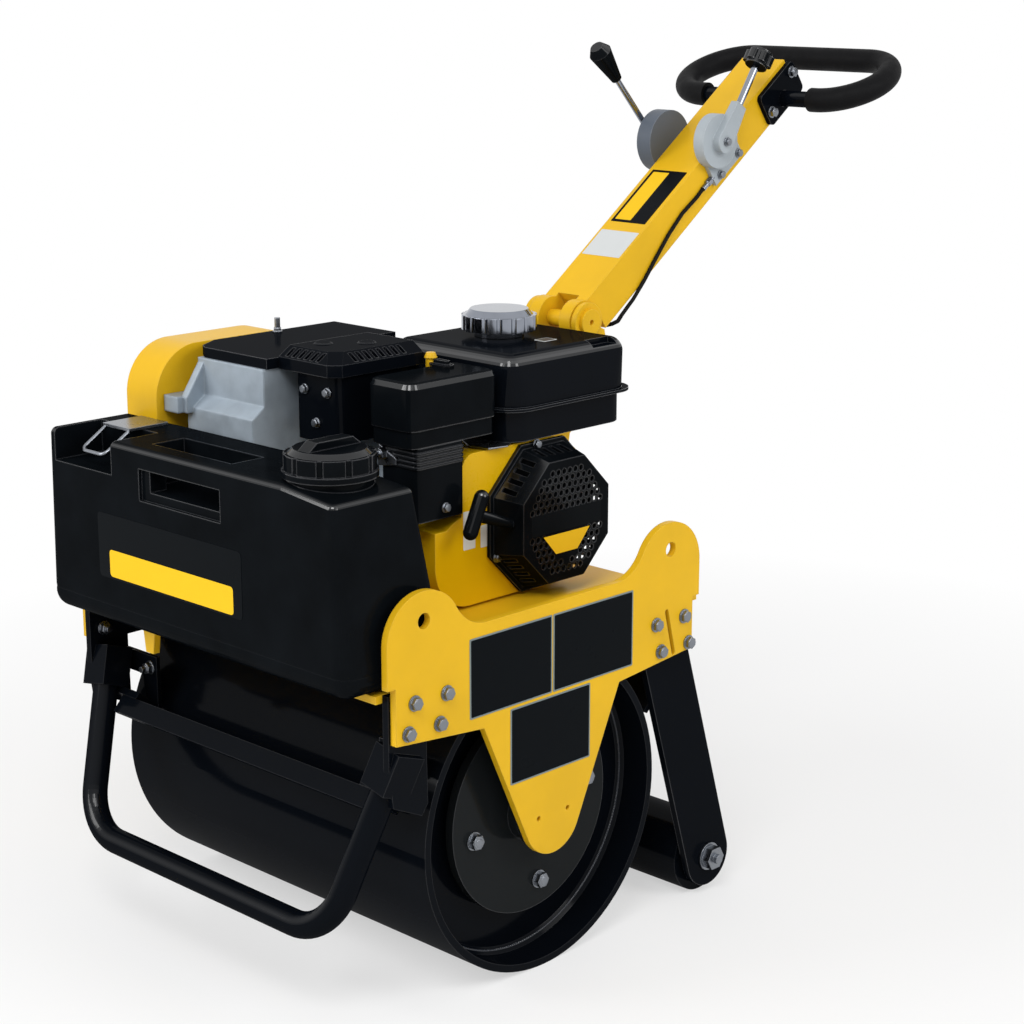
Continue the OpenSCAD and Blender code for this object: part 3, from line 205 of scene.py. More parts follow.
class Finish:
    """A node tree whose nodes are added one by one round its shader."""

    def __init__(self, tree, shader):
        self.tree = tree
        self.shader = tree.nodes[shader]

    @classmethod
    def material(cls, name, **constants):
        """A new material; the constants are set on its Principled shader."""
        material = bpy.data.materials.new(name)
        material.use_nodes = True
        finish = cls(material.node_tree, "Principled BSDF")
        finish.made = material
        for socket, value in constants.items():
            finish.shader.inputs[socket.replace("_", " ")].default_value = value
        return finish

    def add(self, kind, settings=None, sockets=None, out=0):
        """A node of this type with its settings and the values or links of its sockets."""
        node = self.tree.nodes.new(kind)
        for key, value in (settings or {}).items():
            setattr(node, key, value)
        for key, value in (sockets or {}).items():
            self.link(value, node.inputs[key])
        return Field(self, node.outputs[out])

    def link(self, value, socket):
        if isinstance(value, Field):
            self.tree.links.new(value.socket, socket)
        else:
            socket.default_value = value

    def feed(self, name, value):
        """Links a value that changes over the surface to the shader."""
        self.link(value, self.shader.inputs[name])

    def place(self):
        """Object coordinates, in metres."""
        return self.add("ShaderNodeTexCoord", out="Object")

    def noise(self, scale, detail=3.0):
        return self.add("ShaderNodeTexNoise", sockets={
            "Vector": self.place(), "Scale": scale, "Detail": detail, "Roughness": 0.55})

    def cells(self, scale):
        return self.add("ShaderNodeTexVoronoi", sockets={"Vector": self.place(), "Scale": scale})

    def spread(self, value, low, high, from_low=0.0, from_high=1.0):
        """Value stretched from one range to another, and held inside it."""
        return self.add("ShaderNodeMapRange", {"clamp": True}, {
            "Value": value, "From Min": from_low, "From Max": from_high,
            "To Min": low, "To Max": high})

    def vary(self, noise, low=0.0, high=1.0):
        """A range that follows the middle of a noise."""
        return self.spread(noise, low, high, *NOISE_MIDDLE)

    def mix(self, factor, first, second):
        """A colour between two colours."""
        return self.add("ShaderNodeMix", {"data_type": "RGBA"}, {
            "Factor": factor, 6: first, 7: second}, out=2)

    def tones(self, factor, colour, darker, lighter):
        """A colour between two shades of one colour."""
        return self.mix(factor, shade(colour, darker), shade(colour, lighter))

    def rounded(self, radius):
        """The normal as it would be with sharp edges rounded to this radius."""
        return self.add("ShaderNodeBevel", {"samples": 6}, {"Radius": radius})

    def edges(self, normal):
        """1 along rounded edges and 0 on flat faces."""
        flat = self.add("ShaderNodeNewGeometry", out="Normal")
        return self.spread(normal.dot(flat), 1.0, 0.0, *EDGE_TURN)

    def shoulders(self):
        """1 where a surface turns from its top to its side, and 0 on flat tops and walls."""
        up = self.add("ShaderNodeNewGeometry", out="True Normal").dot(UP)
        return self.spread(up, 0.0, 1.0, *SHOULDER_IN) * self.spread(up, 1.0, 0.0, *SHOULDER_OUT)

    def coat(self, edges, glint, shoulder, sheen):
        """A clear coat that shows on edges and shoulders, and faintly elsewhere."""
        self.feed("Coat Weight",
                  (edges * glint).largest(self.shoulders() * shoulder).largest(sheen))

    def bump(self, height, strength, distance, normal=None):
        """Relief from a height field; a height of 1 rises by distance, in metres."""
        sockets = {"Strength": strength, "Distance": distance, "Height": height}
        if normal is not None:
            sockets["Normal"] = normal
        self.feed("Normal", self.add("ShaderNodeBump", sockets=sockets))

    def seen(self):
        """1 for rays from the camera, mirrors and glass, and 0 for the light on other surfaces."""
        rays = [self.add("ShaderNodeLightPath", out=ray) for ray in (
            "Is Camera Ray", "Is Glossy Ray", "Is Transmission Ray")]
        return rays[0].largest(rays[1]).largest(rays[2])


def shade(colour, factor):
    return (*[min(1.0, c * factor) for c in colour], 1.0)


# Finishes

COAT_IOR = 1.8


def enamel(name, colour, roughness, edge_highlight_tint, specular=0.0, glint=0.0, shoulder=0.0,
           sheen=0.0):
    """Sprayed enamel: slight orange peel, uneven gloss, a painted highlight along its edges, and
    glints on its turns.
    """
    finish = Finish.material(name, Specular_IOR_Level=specular, Coat_Roughness=0.12,
                             Coat_IOR=COAT_IOR)
    soft = finish.rounded(0.002)
    cloud = finish.noise(9.0, detail=4.0)
    fine = finish.noise(240.0, detail=2.0)
    body = finish.tones(finish.spread(cloud, 0.0, 1.0, 0.35, 0.7), colour, 0.95, 1.05)
    edges = finish.edges(soft)
    # Painted highlight: along rounded edges the base colour turns to a lighter tint
    finish.feed("Base Color", finish.mix(edges * 0.8, body, edge_highlight_tint))
    finish.coat(edges, glint, shoulder, sheen)
    finish.feed("Roughness", finish.vary(cloud * 0.7 + fine * 0.3, roughness - 0.04,
                                         roughness + 0.08))
    finish.bump(finish.noise(420.0, detail=1.5), strength=0.08, distance=0.0003, normal=soft)
    return finish.made


def moulded(name, colour, roughness, grain, edge_highlight_tint):
    """Moulded plastic with a fine pebbled skin and shiny edges: a clear coat on them and a painted
    highlight in their colour.
    """
    finish = Finish.material(name, Specular_IOR_Level=0.0, Coat_Roughness=0.14,
                             Coat_IOR=COAT_IOR)
    soft = finish.rounded(0.003)
    cloud = finish.noise(14.0, detail=4.0)
    body = finish.tones(finish.vary(cloud), colour, 0.8, 1.4)
    edges = finish.edges(soft)
    # Painted highlight: along rounded edges the base colour turns to a lighter tint
    finish.feed("Base Color", finish.mix(edges * 0.7, body, edge_highlight_tint))
    finish.coat(edges, glint=0.8, shoulder=0.7, sheen=0.035)
    finish.feed("Roughness", finish.vary(cloud, roughness - 0.06, roughness + 0.08))
    pebbles = finish.cells(grain) * 0.6 + finish.noise(grain * 1.7) * 0.4
    finish.bump(pebbles, strength=0.12, distance=0.0004, normal=soft)
    return finish.made


def metal(name, colour, roughness):
    """Bare or plated metal with fine grain."""
    finish = Finish.material(name, Metallic=1.0)
    soft = finish.rounded(0.0012)
    cloud = finish.noise(40.0)
    fine = finish.noise(300.0, detail=2.0)
    finish.feed("Base Color", finish.tones(finish.vary(cloud), colour, 0.92, 1.04))
    finish.feed("Roughness", finish.vary(fine * 0.3 + cloud * 0.7, roughness * 0.85,
                                         roughness * 1.25))
    finish.bump(fine, strength=0.02, distance=0.0003, normal=soft)
    return finish.made


def casting(name, colour):
    """Sand-cast alloy: pale, rough and slightly mottled."""
    finish = Finish.material(name, Metallic=0.35, Specular_IOR_Level=0.4)
    soft = finish.rounded(0.004)
    cloud = finish.noise(30.0, detail=5.0)
    finish.feed("Base Color", finish.tones(finish.vary(cloud), colour, 0.86, 1.08))
    finish.feed("Roughness", finish.vary(cloud, 0.42, 0.6))
    finish.bump(finish.noise(900.0, detail=2.0), strength=0.25, distance=0.0005, normal=soft)
    return finish.made


def foam(name, colour):
    """Closed-cell foam or rubber."""
    finish = Finish.material(name, Specular_IOR_Level=0.07)
    cells = finish.cells(900.0)
    finish.feed("Base Color", finish.tones(
        finish.spread(cells, 0.0, 1.0, 0.0, 0.6), colour, 0.8, 1.3))
    finish.feed("Roughness", finish.vary(finish.noise(60.0), 0.5, 0.65))
    finish.bump(cells, strength=0.2, distance=0.0004)
    return finish.made


def printed(name, colour, roughness):
    """Printed film: an even colour with a faint mottle in its gloss."""
    finish = Finish.material(name, Specular_IOR_Level=0.03)
    cloud = finish.noise(25.0)
    finish.feed("Base Color", finish.tones(cloud, colour, 0.97, 1.03))
    finish.feed("Roughness", finish.vary(cloud, roughness - 0.03, roughness + 0.05))
    return finish.made


FINISHES = {}


def make_finishes(colours):
    """Every finish of the machine, by the record's slot name or the label's colour."""
    # Lighter tints that the finishes take along rounded edges are painted highlights, here and
    # where a tint is given in the table
    dark_edge_highlight = (0.045, 0.047, 0.053, 1.0)
    bright_edge_highlight = (0.075, 0.08, 0.088, 1.0)
    dull_edge_highlight = (0.018, 0.019, 0.022, 1.0)
    yellow_edge_highlight = (0.84, 0.54, 0.05, 1.0)
    weld = shade(colours.black, 4.0)[:3]
    FINISHES.update({
        "yellow_paint": enamel("YellowEnamel", colours.yellow, 0.34, yellow_edge_highlight, specular=0.16),
        "black_paint": enamel("BlackEnamel", colours.black, 0.32, dark_edge_highlight, glint=0.7,
                              shoulder=0.25, sheen=0.04),
        "gloss_black": enamel("GlossBlackEnamel", colours.black, 0.16, bright_edge_highlight, glint=1.0,
                              shoulder=1.0, sheen=0.06),
        "drum_black": enamel("DrumEnamel", colours.black, 0.34, dull_edge_highlight, glint=0.3, sheen=0.06),
        "disc_black": enamel("DiscEnamel", (0.0100, 0.0116, 0.0125), 0.34, dark_edge_highlight, glint=0.7,
                             sheen=0.08),
        "tank_plastic": moulded("TankPlastic", colours.plastic, 0.34, 900.0, dark_edge_highlight),
        "engine_plastic": moulded("EnginePlastic", colours.plastic, 0.38, 1400.0, dark_edge_highlight),
        "plated_steel": metal("PlatedSteel", (0.23, 0.245, 0.27), 0.28),
        "chrome": metal("Chrome", (0.28, 0.30, 0.345), 0.12),
        "cast_alloy": casting("CastAlloy", (0.33, 0.385, 0.44)),
        "grey_paint": enamel("GreyPaint", colours.grey, 0.4, (0.5, 0.54, 0.57, 1.0),
                             specular=0.3),
        # A darker copy of the grey paint for the far lever box: painted shade
        "grey_painted_shade": enamel("GreyPaintPaintedShade", (0.095, 0.112, 0.14), 0.4,
                            (0.24, 0.27, 0.31, 1.0), specular=0.2),
        "shroud_yellow": enamel("ShroudYellow", (0.70, 0.415, 0.002), 0.24, yellow_edge_highlight,
                                specular=0.2),
        "rubber": foam("BlackRubber", (0.006, 0.006, 0.006)),
        "foam_grip": foam("FoamGrip", (0.0045, 0.0045, 0.005)),
        "weld_black": enamel("WeldBlack", weld, 0.25, dark_edge_highlight, specular=0.3, glint=0.7),
        "label_black": printed("LabelBlack", (0.0030, 0.0042, 0.0055), 0.3),
        "label_pale": printed("LabelPale", (0.62, 0.64, 0.64), 0.4),
        "label_yellow": printed("LabelYellow", (0.86, 0.53, 0.02), 0.4),
        "label_line": printed("LabelLine", (0.20, 0.24, 0.24), 0.4),
    })


# Solids that the pieces are put together from

CORNER_STEPS = 4


class Form:
    """A mesh of plain solids, given in millimetres from the ground under the drum's axle."""

    def __init__(self):
        self.mesh = bmesh.new()
        self.slot = 0

    def _mark(self, faces):
        for face in faces:
            face.material_index = self.slot

    def bar(self, place, axis, radius, length, sides, tip=None):
        """A cylinder from place along axis, or a cone with its own radius at the tip."""
        made = bmesh.ops.create_cone(
            self.mesh, cap_ends=True, segments=sides, radius1=radius * MM,
            radius2=(radius if tip is None else tip) * MM, depth=length * MM)["verts"]
        turn = Vector(axis).to_track_quat("Z", "Y").to_matrix().to_4x4()
        lift = Matrix.Translation((0, 0, length * MM / 2))
        bmesh.ops.transform(self.mesh, verts=made,
                            matrix=Matrix.Translation(at(*place)) @ turn @ lift)
        self._mark({face for vert in made for face in vert.link_faces})

    def ball(self, place, radius):
        """A sphere, such as a bend's joint between two bars."""
        made = bmesh.ops.create_uvsphere(
            self.mesh, u_segments=16, v_segments=8, radius=radius * MM,
            matrix=Matrix.Translation(at(*place)))["verts"]
        self._mark({face for vert in made for face in vert.link_faces})

    def slab(self, corners, depth):
        """A flat outline, thickened by the vector depth."""
        base = [self.mesh.verts.new(at(*corner)) for corner in corners]
        top = [self.mesh.verts.new(at(*(Vector(corner) + Vector(depth)))) for corner in corners]
        faces = [self.mesh.faces.new(base), self.mesh.faces.new(top)]
        for i in range(len(base)):
            j = (i + 1) % len(base)
            faces.append(self.mesh.faces.new((base[i], base[j], top[j], top[i])))
        self._mark(faces)

    def sheet(self, middle, across, up, half, radius, depth):
        """A plate with round corners: middle, two directions, half sizes and thickness."""
        corners = []
        for turn, (i, j) in enumerate(((1, 1), (-1, 1), (-1, -1), (1, -1))):
            for step in range(CORNER_STEPS + 1):
                angle = math.radians(90 * (turn + step / CORNER_STEPS))
                u = i * (half[0] - radius) + radius * math.cos(angle)
                v = j * (half[1] - radius) + radius * math.sin(angle)
                corners.append(Vector(middle) + Vector(across) * u + Vector(up) * v)
        self.slab(corners, depth)

    def piece(self, name, body, finishes, slot=None):
        """The finished mesh as an object that rides a body."""
        bmesh.ops.recalc_face_normals(self.mesh, faces=self.mesh.faces)
        mesh = bpy.data.meshes.new(name)
        self.mesh.to_mesh(mesh)
        self.mesh.free()
        for finish in finishes:
            mesh.materials.append(FINISHES[finish])
        settle(bpy.data.objects.new(name, mesh), body)


def settle(piece, body):
    """Puts a piece in the scene on its body."""
    if piece.name not in bpy.context.scene.collection.objects:
        bpy.context.scene.collection.objects.link(piece)
    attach(piece, body)


# Geometry Nodes for what repeats


class Tree:
    """A Geometry Nodes tree whose nodes are added one by one."""

    def __init__(self, name, inputs):
        self.group = bpy.data.node_groups.new(name, "GeometryNodeTree")
        face = self.group.interface
        face.new_socket("Geometry", in_out="INPUT", socket_type="NodeSocketGeometry")
        self.keys = {
            key: face.new_socket(key, in_out="INPUT", socket_type=kind).identifier
            for key, kind in inputs.items()}
        face.new_socket("Geometry", in_out="OUTPUT", socket_type="NodeSocketGeometry")
        self.source = self.group.nodes.new("NodeGroupInput")
        self.result = self.group.nodes.new("NodeGroupOutput")

    def given(self, key):
        return self.source.outputs[key]

    def add(self, kind, settings=None, sockets=None, out=0):
        node = self.group.nodes.new(kind)
        for key, value in (settings or {}).items():
            setattr(node, key, value)
        for key, value in (sockets or {}).items():
            if isinstance(value, bpy.types.NodeSocket):
                self.group.links.new(value, node.inputs[key])
            else:
                node.inputs[key].default_value = value
        return node.outputs[out]

    def math(self, operation, first, second):
        return self.add("ShaderNodeMath", {"operation": operation}, {0: first, 1: second})

    def rod(self, sides, radius, depth, start):
        """A cylinder along Z that begins at start."""
        solid = self.add("GeometryNodeMeshCylinder", sockets={
            "Vertices": sides, "Radius": radius, "Depth": depth})
        middle = self.math("ADD", start, self.math("MULTIPLY", depth, 0.5))
        shift = self.add("ShaderNodeCombineXYZ", sockets={"Z": middle})
        return self.add("GeometryNodeTransform", sockets={"Geometry": solid, "Translation": shift})

    def facing(self):
        """The rotation that turns Z to each point's facing direction."""
        way = self.add("GeometryNodeInputNamedAttribute", {"data_type": "FLOAT_VECTOR"},
                       {"Name": "facing"})
        return self.add("FunctionNodeAlignRotationToVector", {"axis": "Z"}, {"Vector": way})

    def join(self, *parts):
        node = self.group.nodes.new("GeometryNodeJoinGeometry")
        for part in parts:
            self.group.links.new(part, node.inputs[0])
        return node.outputs[0]

    def finish(self, geometry):
        """Realizes the instances, sets their finish and ends the tree."""
        real = self.add("GeometryNodeRealizeInstances", sockets={"Geometry": geometry})
        done = self.add("GeometryNodeSetMaterial", sockets={
            "Geometry": real, "Material": self.given("Finish")})
        self.group.links.new(done, self.result.inputs[0])

    def mesh(self, name, points, values):
        """The tree's result on points that carry a facing direction, as one plain mesh."""
        seed = bpy.data.meshes.new(name + "Points")
        seed.from_pydata([at(*place) for place, facing in points], [], [])
        facing = seed.attributes.new("facing", "FLOAT_VECTOR", "POINT")
        facing.data.foreach_set("vector", [c for place, way in points for c in way])
        piece = bpy.data.objects.new(name, seed)
        bpy.context.scene.collection.objects.link(piece)
        modifier = piece.modifiers.new(self.group.name, "NODES")
        modifier.node_group = self.group
        for key, value in values.items():
            modifier[self.keys[key]] = value
        graph = bpy.context.evaluated_depsgraph_get()
        made = bpy.data.meshes.new_from_object(piece.evaluated_get(graph))
        piece.modifiers.clear()
        piece.data = made
        made.name = name
        return piece


# A bolt's thicknesses in metres, its radii as shares of the width across its flats, and the largest
# random turn of its head in radians
WASHER_T, CROWN_T = 0.0018, 0.0008
WASHER_RADIUS, HEAD_RADIUS, CROWN_RADIUS, THREAD_RADIUS = 0.68, 0.577, 0.47, 0.30
SIXTH_TURN = 1.05
# How a weld bead's ball is stretched, with its height last
BEAD_FORM = (1.0, 1.0, 0.6)


def bolt_tree():
    """Hexagon bolts on points: washer, head with a raised round top, and a thread's end."""
    tree = Tree("HexBolts", {
        "Across": "NodeSocketFloat", "Height": "NodeSocketFloat", "Reach": "NodeSocketFloat",
        "Finish": "NodeSocketMaterial"})
    height = tree.given("Height")
    head_top = tree.math("ADD", height, WASHER_T)
    bolt = tree.join(*[
        tree.rod(sides, tree.math("MULTIPLY", tree.given("Across"), share), depth, start)
        for sides, share, depth, start in (
            (24, WASHER_RADIUS, WASHER_T, 0.0), (6, HEAD_RADIUS, height, WASHER_T),
            (18, CROWN_RADIUS, CROWN_T, head_top),
            (12, THREAD_RADIUS, tree.given("Reach"), head_top))])
    angle = tree.add("FunctionNodeRandomValue", {"data_type": "FLOAT"}, {2: 0.0, 3: SIXTH_TURN},
                     out=1)
    twist = tree.add("FunctionNodeAxisAngleToRotation", sockets={"Axis": UP, "Angle": angle})
    turned = tree.add("FunctionNodeRotateRotation", {"rotation_space": "LOCAL"}, {
        "Rotation": tree.facing(), "Rotate By": twist})
    tree.finish(tree.add("GeometryNodeInstanceOnPoints", sockets={
        "Points": tree.given("Geometry"), "Instance": bolt, "Rotation": turned}))
    return tree


def bead_tree():
    """Weld beads: flattened scales along a line of points."""
    tree = Tree("WeldBeads", {"Size": "NodeSocketFloat", "Finish": "NodeSocketMaterial"})
    bead = tree.add("GeometryNodeMeshIcoSphere", sockets={
        "Radius": tree.given("Size"), "Subdivisions": 2})
    tree.finish(tree.add("GeometryNodeInstanceOnPoints", sockets={
        "Points": tree.given("Geometry"), "Instance": bead, "Rotation": tree.facing(),
        "Scale": BEAD_FORM}))
    return tree


def ring(x, z, radius, angles):
    """Places round an upright circle, at angles in radians."""
    return [(x + radius * math.cos(a), z + radius * math.sin(a)) for a in angles]


def both_sides(places, y, facing=1):
    """The same places on the left and right side; facing -1 turns them inwards."""
    return [((x, side * y, z), (0, side * facing, 0)) for side in (1, -1) for x, z in places]


# Operators

# Nodes whose paint differs in tone from the rest of their slot; the far lever box's darker grey is
# painted shade
OWN_FINISH = {
    "fan_shroud": "shroud_yellow", "lever_box_right": "grey_painted_shade", "drum_shell": "drum_black",
    "rear_roller": "drum_black", "front_scraper": "drum_black", "rear_scraper": "drum_black",
    "guard_bracket_left": "drum_black", "guard_bracket_right": "drum_black",
    "drum_disc_left": "disc_black", "drum_disc_right": "disc_black"}


class ROLLER_OT_finishes(Operator):
    """Paint every CAD node with the finish of its slot"""

    bl_idname = "roller.finishes"
    bl_label = "Finishes"

    def execute(self, context):
        make_finishes(context.scene.roller_colours)
        for part in frame["record"]["subparts"]:
            node = frame["nodes"][part["node"]]
            node.modifiers.new("FlatFaces", "WEIGHTED_NORMAL").keep_sharp = True
            mesh = node.data
            mesh.materials.clear()
            finish = OWN_FINISH.get(part["node"], part["material_slot"])
            mesh.materials.append(FINISHES[finish])
        return {"FINISHED"}


PLATE_BOLTS = ((242, 426), (189, 426), (253, 390), (201, 390),
               (-197, 426), (-254, 426), (-207, 387), (-264, 387))
DISC_BOLT_CIRCLE, DISC_ANGLES = 105.0, (-8.4, 81.6, 171.6, 261.6)
STARTER_SCREW_CIRCLE, STARTER_ANGLES, STARTER_LUG_T = 99.5, (82.0, -26.0, 206.0), 6.0
HANGER_X, HANGER_T = 212.0, 6.0
HANDLE_BOLT_SHARE = 0.9


class ROLLER_OT_fasteners(Operator):
    """Put the bolts, nuts and screws on their places"""

    bl_idname = "roller.fasteners"
    bl_label = "Fasteners"

    def execute(self, context):
        sizes = context.scene.roller_bolts
        tree = bolt_tree()
        handle_size = sizes.plate * HANDLE_BOLT_SHARE
        discs = ring(0.0, AXLE_HEIGHT, DISC_BOLT_CIRCLE, map(math.radians, DISC_ANGLES))
        for name, body, points, across, height, reach in (
                ("PlateBolts", "frame", both_sides(PLATE_BOLTS, PLATE_FACE),
                 sizes.plate, 0.0055, 0.0002),
                ("PlateNuts", "frame", both_sides(PLATE_BOLTS, PLATE_BACK, -1),
                 sizes.plate, 0.007, 0.006),
                ("DiscBolts", "drum", both_sides(discs, DISC_FACE), sizes.disc, 0.008, 0.0015),
                ("ScraperBolts", "frame", self.scraper_places(), sizes.plate, 0.007, 0.008),
                ("StarterScrews", "frame", self.starter_places(), sizes.small, 0.004, 0.0003),
                ("CoverScrews", "frame", self.cover_places(), sizes.small, 0.004, 0.0003),
                ("HandleBolts", "handle", self.handle_places(), handle_size, 0.006, 0.001),
                ("LeverScrews", "handle", self.lever_places(), sizes.small, 0.004, 0.0005)):
            piece = tree.mesh(name, points, {
                "Across": across, "Height": height, "Reach": reach,
                "Finish": FINISHES["plated_steel"]})
            settle(piece, body)
        return {"FINISHED"}

    @staticmethod
    def scraper_places():
        return [((HANGER_X + HANGER_T, y, 337.0), FORWARD) for y in (-240.0, 240.0)]

    @staticmethod
    def starter_places():
        places = ring(STARTER_X, STARTER_Z, STARTER_SCREW_CIRCLE,
                      map(math.radians, STARTER_ANGLES))
        return [((x, SHROUD_FACE + STARTER_LUG_T, z), LEFT) for x, z in places]

    @staticmethod
    def cover_places():
        panel_side = edge("carburettor_cover", Y, HIGH) - 2.0
        cover_front = 113.0
        return [((26.0, panel_side, 597.0), LEFT), ((*HOOD_STUD, HOOD_TOP), UP),
                *[((cover_front, y, z), FORWARD) for y, z in (
                    (-22.0, 742.0), (22.0, 742.0), (0.0, 700.0))]]

    @staticmethod
    def handle_places():
        out = edge("loop_bracket", Y, HIGH)
        return [(on_arm(s, side * out, h), (0, side, 0))
                for side in (1, -1) for s, h in ((563, -20), (492, -40))]

    @staticmethod
    def lever_places():
        left, left_flange = edge("lever_box_left", Y, HIGH), ARM_SIDE + 7
        right, right_flange = edge("lever_box_right", Y, LOW), -ARM_SIDE - 10
        return [(on_arm(s, y, h), (0, side, 0)) for s, y, h, side in (
            (363, left, 10, 1), (346, left_flange, -40, 1), (396, left_flange, -40, 1),
            (361, right, 5, -1), (338, right_flange, -46, -1), (384, right_flange, -46, -1))]


WELD_RADIUS, WELD_FACE, BEAD_RADIUS, BEAD_COUNT = 200.0, 252.5, 3.6, 330


class ROLLER_OT_welds(Operator):
    """Lay the weld beads where the drum's webs meet its shell"""

    bl_idname = "roller.welds"
    bl_label = "Welds"

    def execute(self, context):
        turns = [2 * math.pi * i / BEAD_COUNT for i in range(BEAD_COUNT)]
        places = ring(0.0, AXLE_HEIGHT, WELD_RADIUS, turns)
        piece = bead_tree().mesh("DrumWelds", both_sides(places, WELD_FACE), {
            "Size": BEAD_RADIUS * MM, "Finish": FINISHES["weld_black"]})
        settle(piece, "drum")
        return {"FINISHED"}


# Lower and upper corners of the side plate's labels, and the border round each
PLATE_LABELS = (((4, 381), (150, 484)), ((-150, 381), (2, 484)), ((-68, 276), (79, 377)))
LABEL_BORDER = 2.2


class ROLLER_OT_labels(Operator):
    """Lay the blank label plates and stickers on their faces"""

    bl_idname = "roller.labels"
    bl_label = "Labels"

    def execute(self, context):
        self.plate_labels()
        self.tank_label()
        self.starter_label()
        self.arm_labels()
        self.engine_stickers()
        return {"FINISHED"}

    @staticmethod
    def plate_labels():
        form = Form()
        for low, high in PLATE_LABELS:
            middle = ((low[0] + high[0]) / 2, PLATE_FACE, (low[1] + high[1]) / 2)
            half = ((high[0] - low[0]) / 2, (high[1] - low[1]) / 2)
            form.slot = 1
            form.sheet(middle, FORWARD, UP, half, 2.0, (0, 0.5, 0))
            form.slot = 0
            form.sheet(middle, FORWARD, UP, (half[0] - LABEL_BORDER, half[1] - LABEL_BORDER), 1.5,
                       (0, 0.7, 0))
        form.piece("PlateLabels", "frame", ("label_black", "label_line"))

    @staticmethod
    def tank_label():
        form = Form()
        form.sheet((TANK_FACE, -33, 548), LEFT, UP, (146, 43), 6.0, (0.4, 0, 0))
        form.slot = 1
        form.sheet((TANK_FACE, -30, 526), LEFT, UP, (126, 18), 5.0, (0.6, 0, 0))
        form.piece("TankLabel", "frame", ("label_black", "label_yellow"))

    @staticmethod
    def starter_label():
        form = Form()
        form.sheet((STARTER_X, STARTER_FACE, STARTER_Z + 1), FORWARD, UP, (68, 14), 2.0,
                   (0, 0.3, 0))
        form.slot = 1
        form.slab([(x, STARTER_FACE, z) for x, z in (
            (-203, 538), (-113, 538), (-137, 511), (-179, 511))], (0, 0.5, 0))
        form.piece("StarterLabel", "frame", ("label_black", "label_yellow"))

    @staticmethod
    def arm_labels():
        form = Form()
        form.sheet(on_arm(243, 0, 0), ARM_UP, LEFT, (58, 33), 1.0, ARM_OUT * 0.4)
        form.slot = 1
        form.sheet(on_arm(243, -13, 0), ARM_UP, LEFT, (53, 15), 1.0, ARM_OUT * 0.6)
        form.slot = 2
        form.sheet(on_arm(139, 0, 0), ARM_UP, LEFT, (27, 36), 1.0, ARM_OUT * 0.4)
        form.piece("ArmLabels", "handle", ("label_black", "label_yellow", "label_pale"))

    @staticmethod
    def engine_stickers():
        form = Form()
        form.sheet((-24, SHROUD_FACE, 556), FORWARD, UP, (11, 26), 1.5, (0, 0.3, 0))
        form.sheet((-53, SHROUD_FACE, 543), FORWARD, UP, (8, 15), 1.5, (0, 0.3, 0))
        fuel_label = (-217, 94, FUEL_TOP)
        form.sheet(fuel_label, FORWARD, LEFT, (13, 10), 2.0, (0, 0, 0.4))
        form.slot = 1
        form.sheet(fuel_label, FORWARD, LEFT, (11, 8), 1.0, (0, 0, 0.6))
        form.piece("EngineStickers", "frame", ("label_pale", "label_black"))


# The cable's last bend, from its end on the arm's side into a grommet under the arm
CABLE_RADIUS = 3.0
CABLE_TAIL = ((62, 43.0, -66), (54, 41.0, -69), (48, 34.0, -70), (44, 26.0, -70.0),
              (42, 21.0, -60.0))


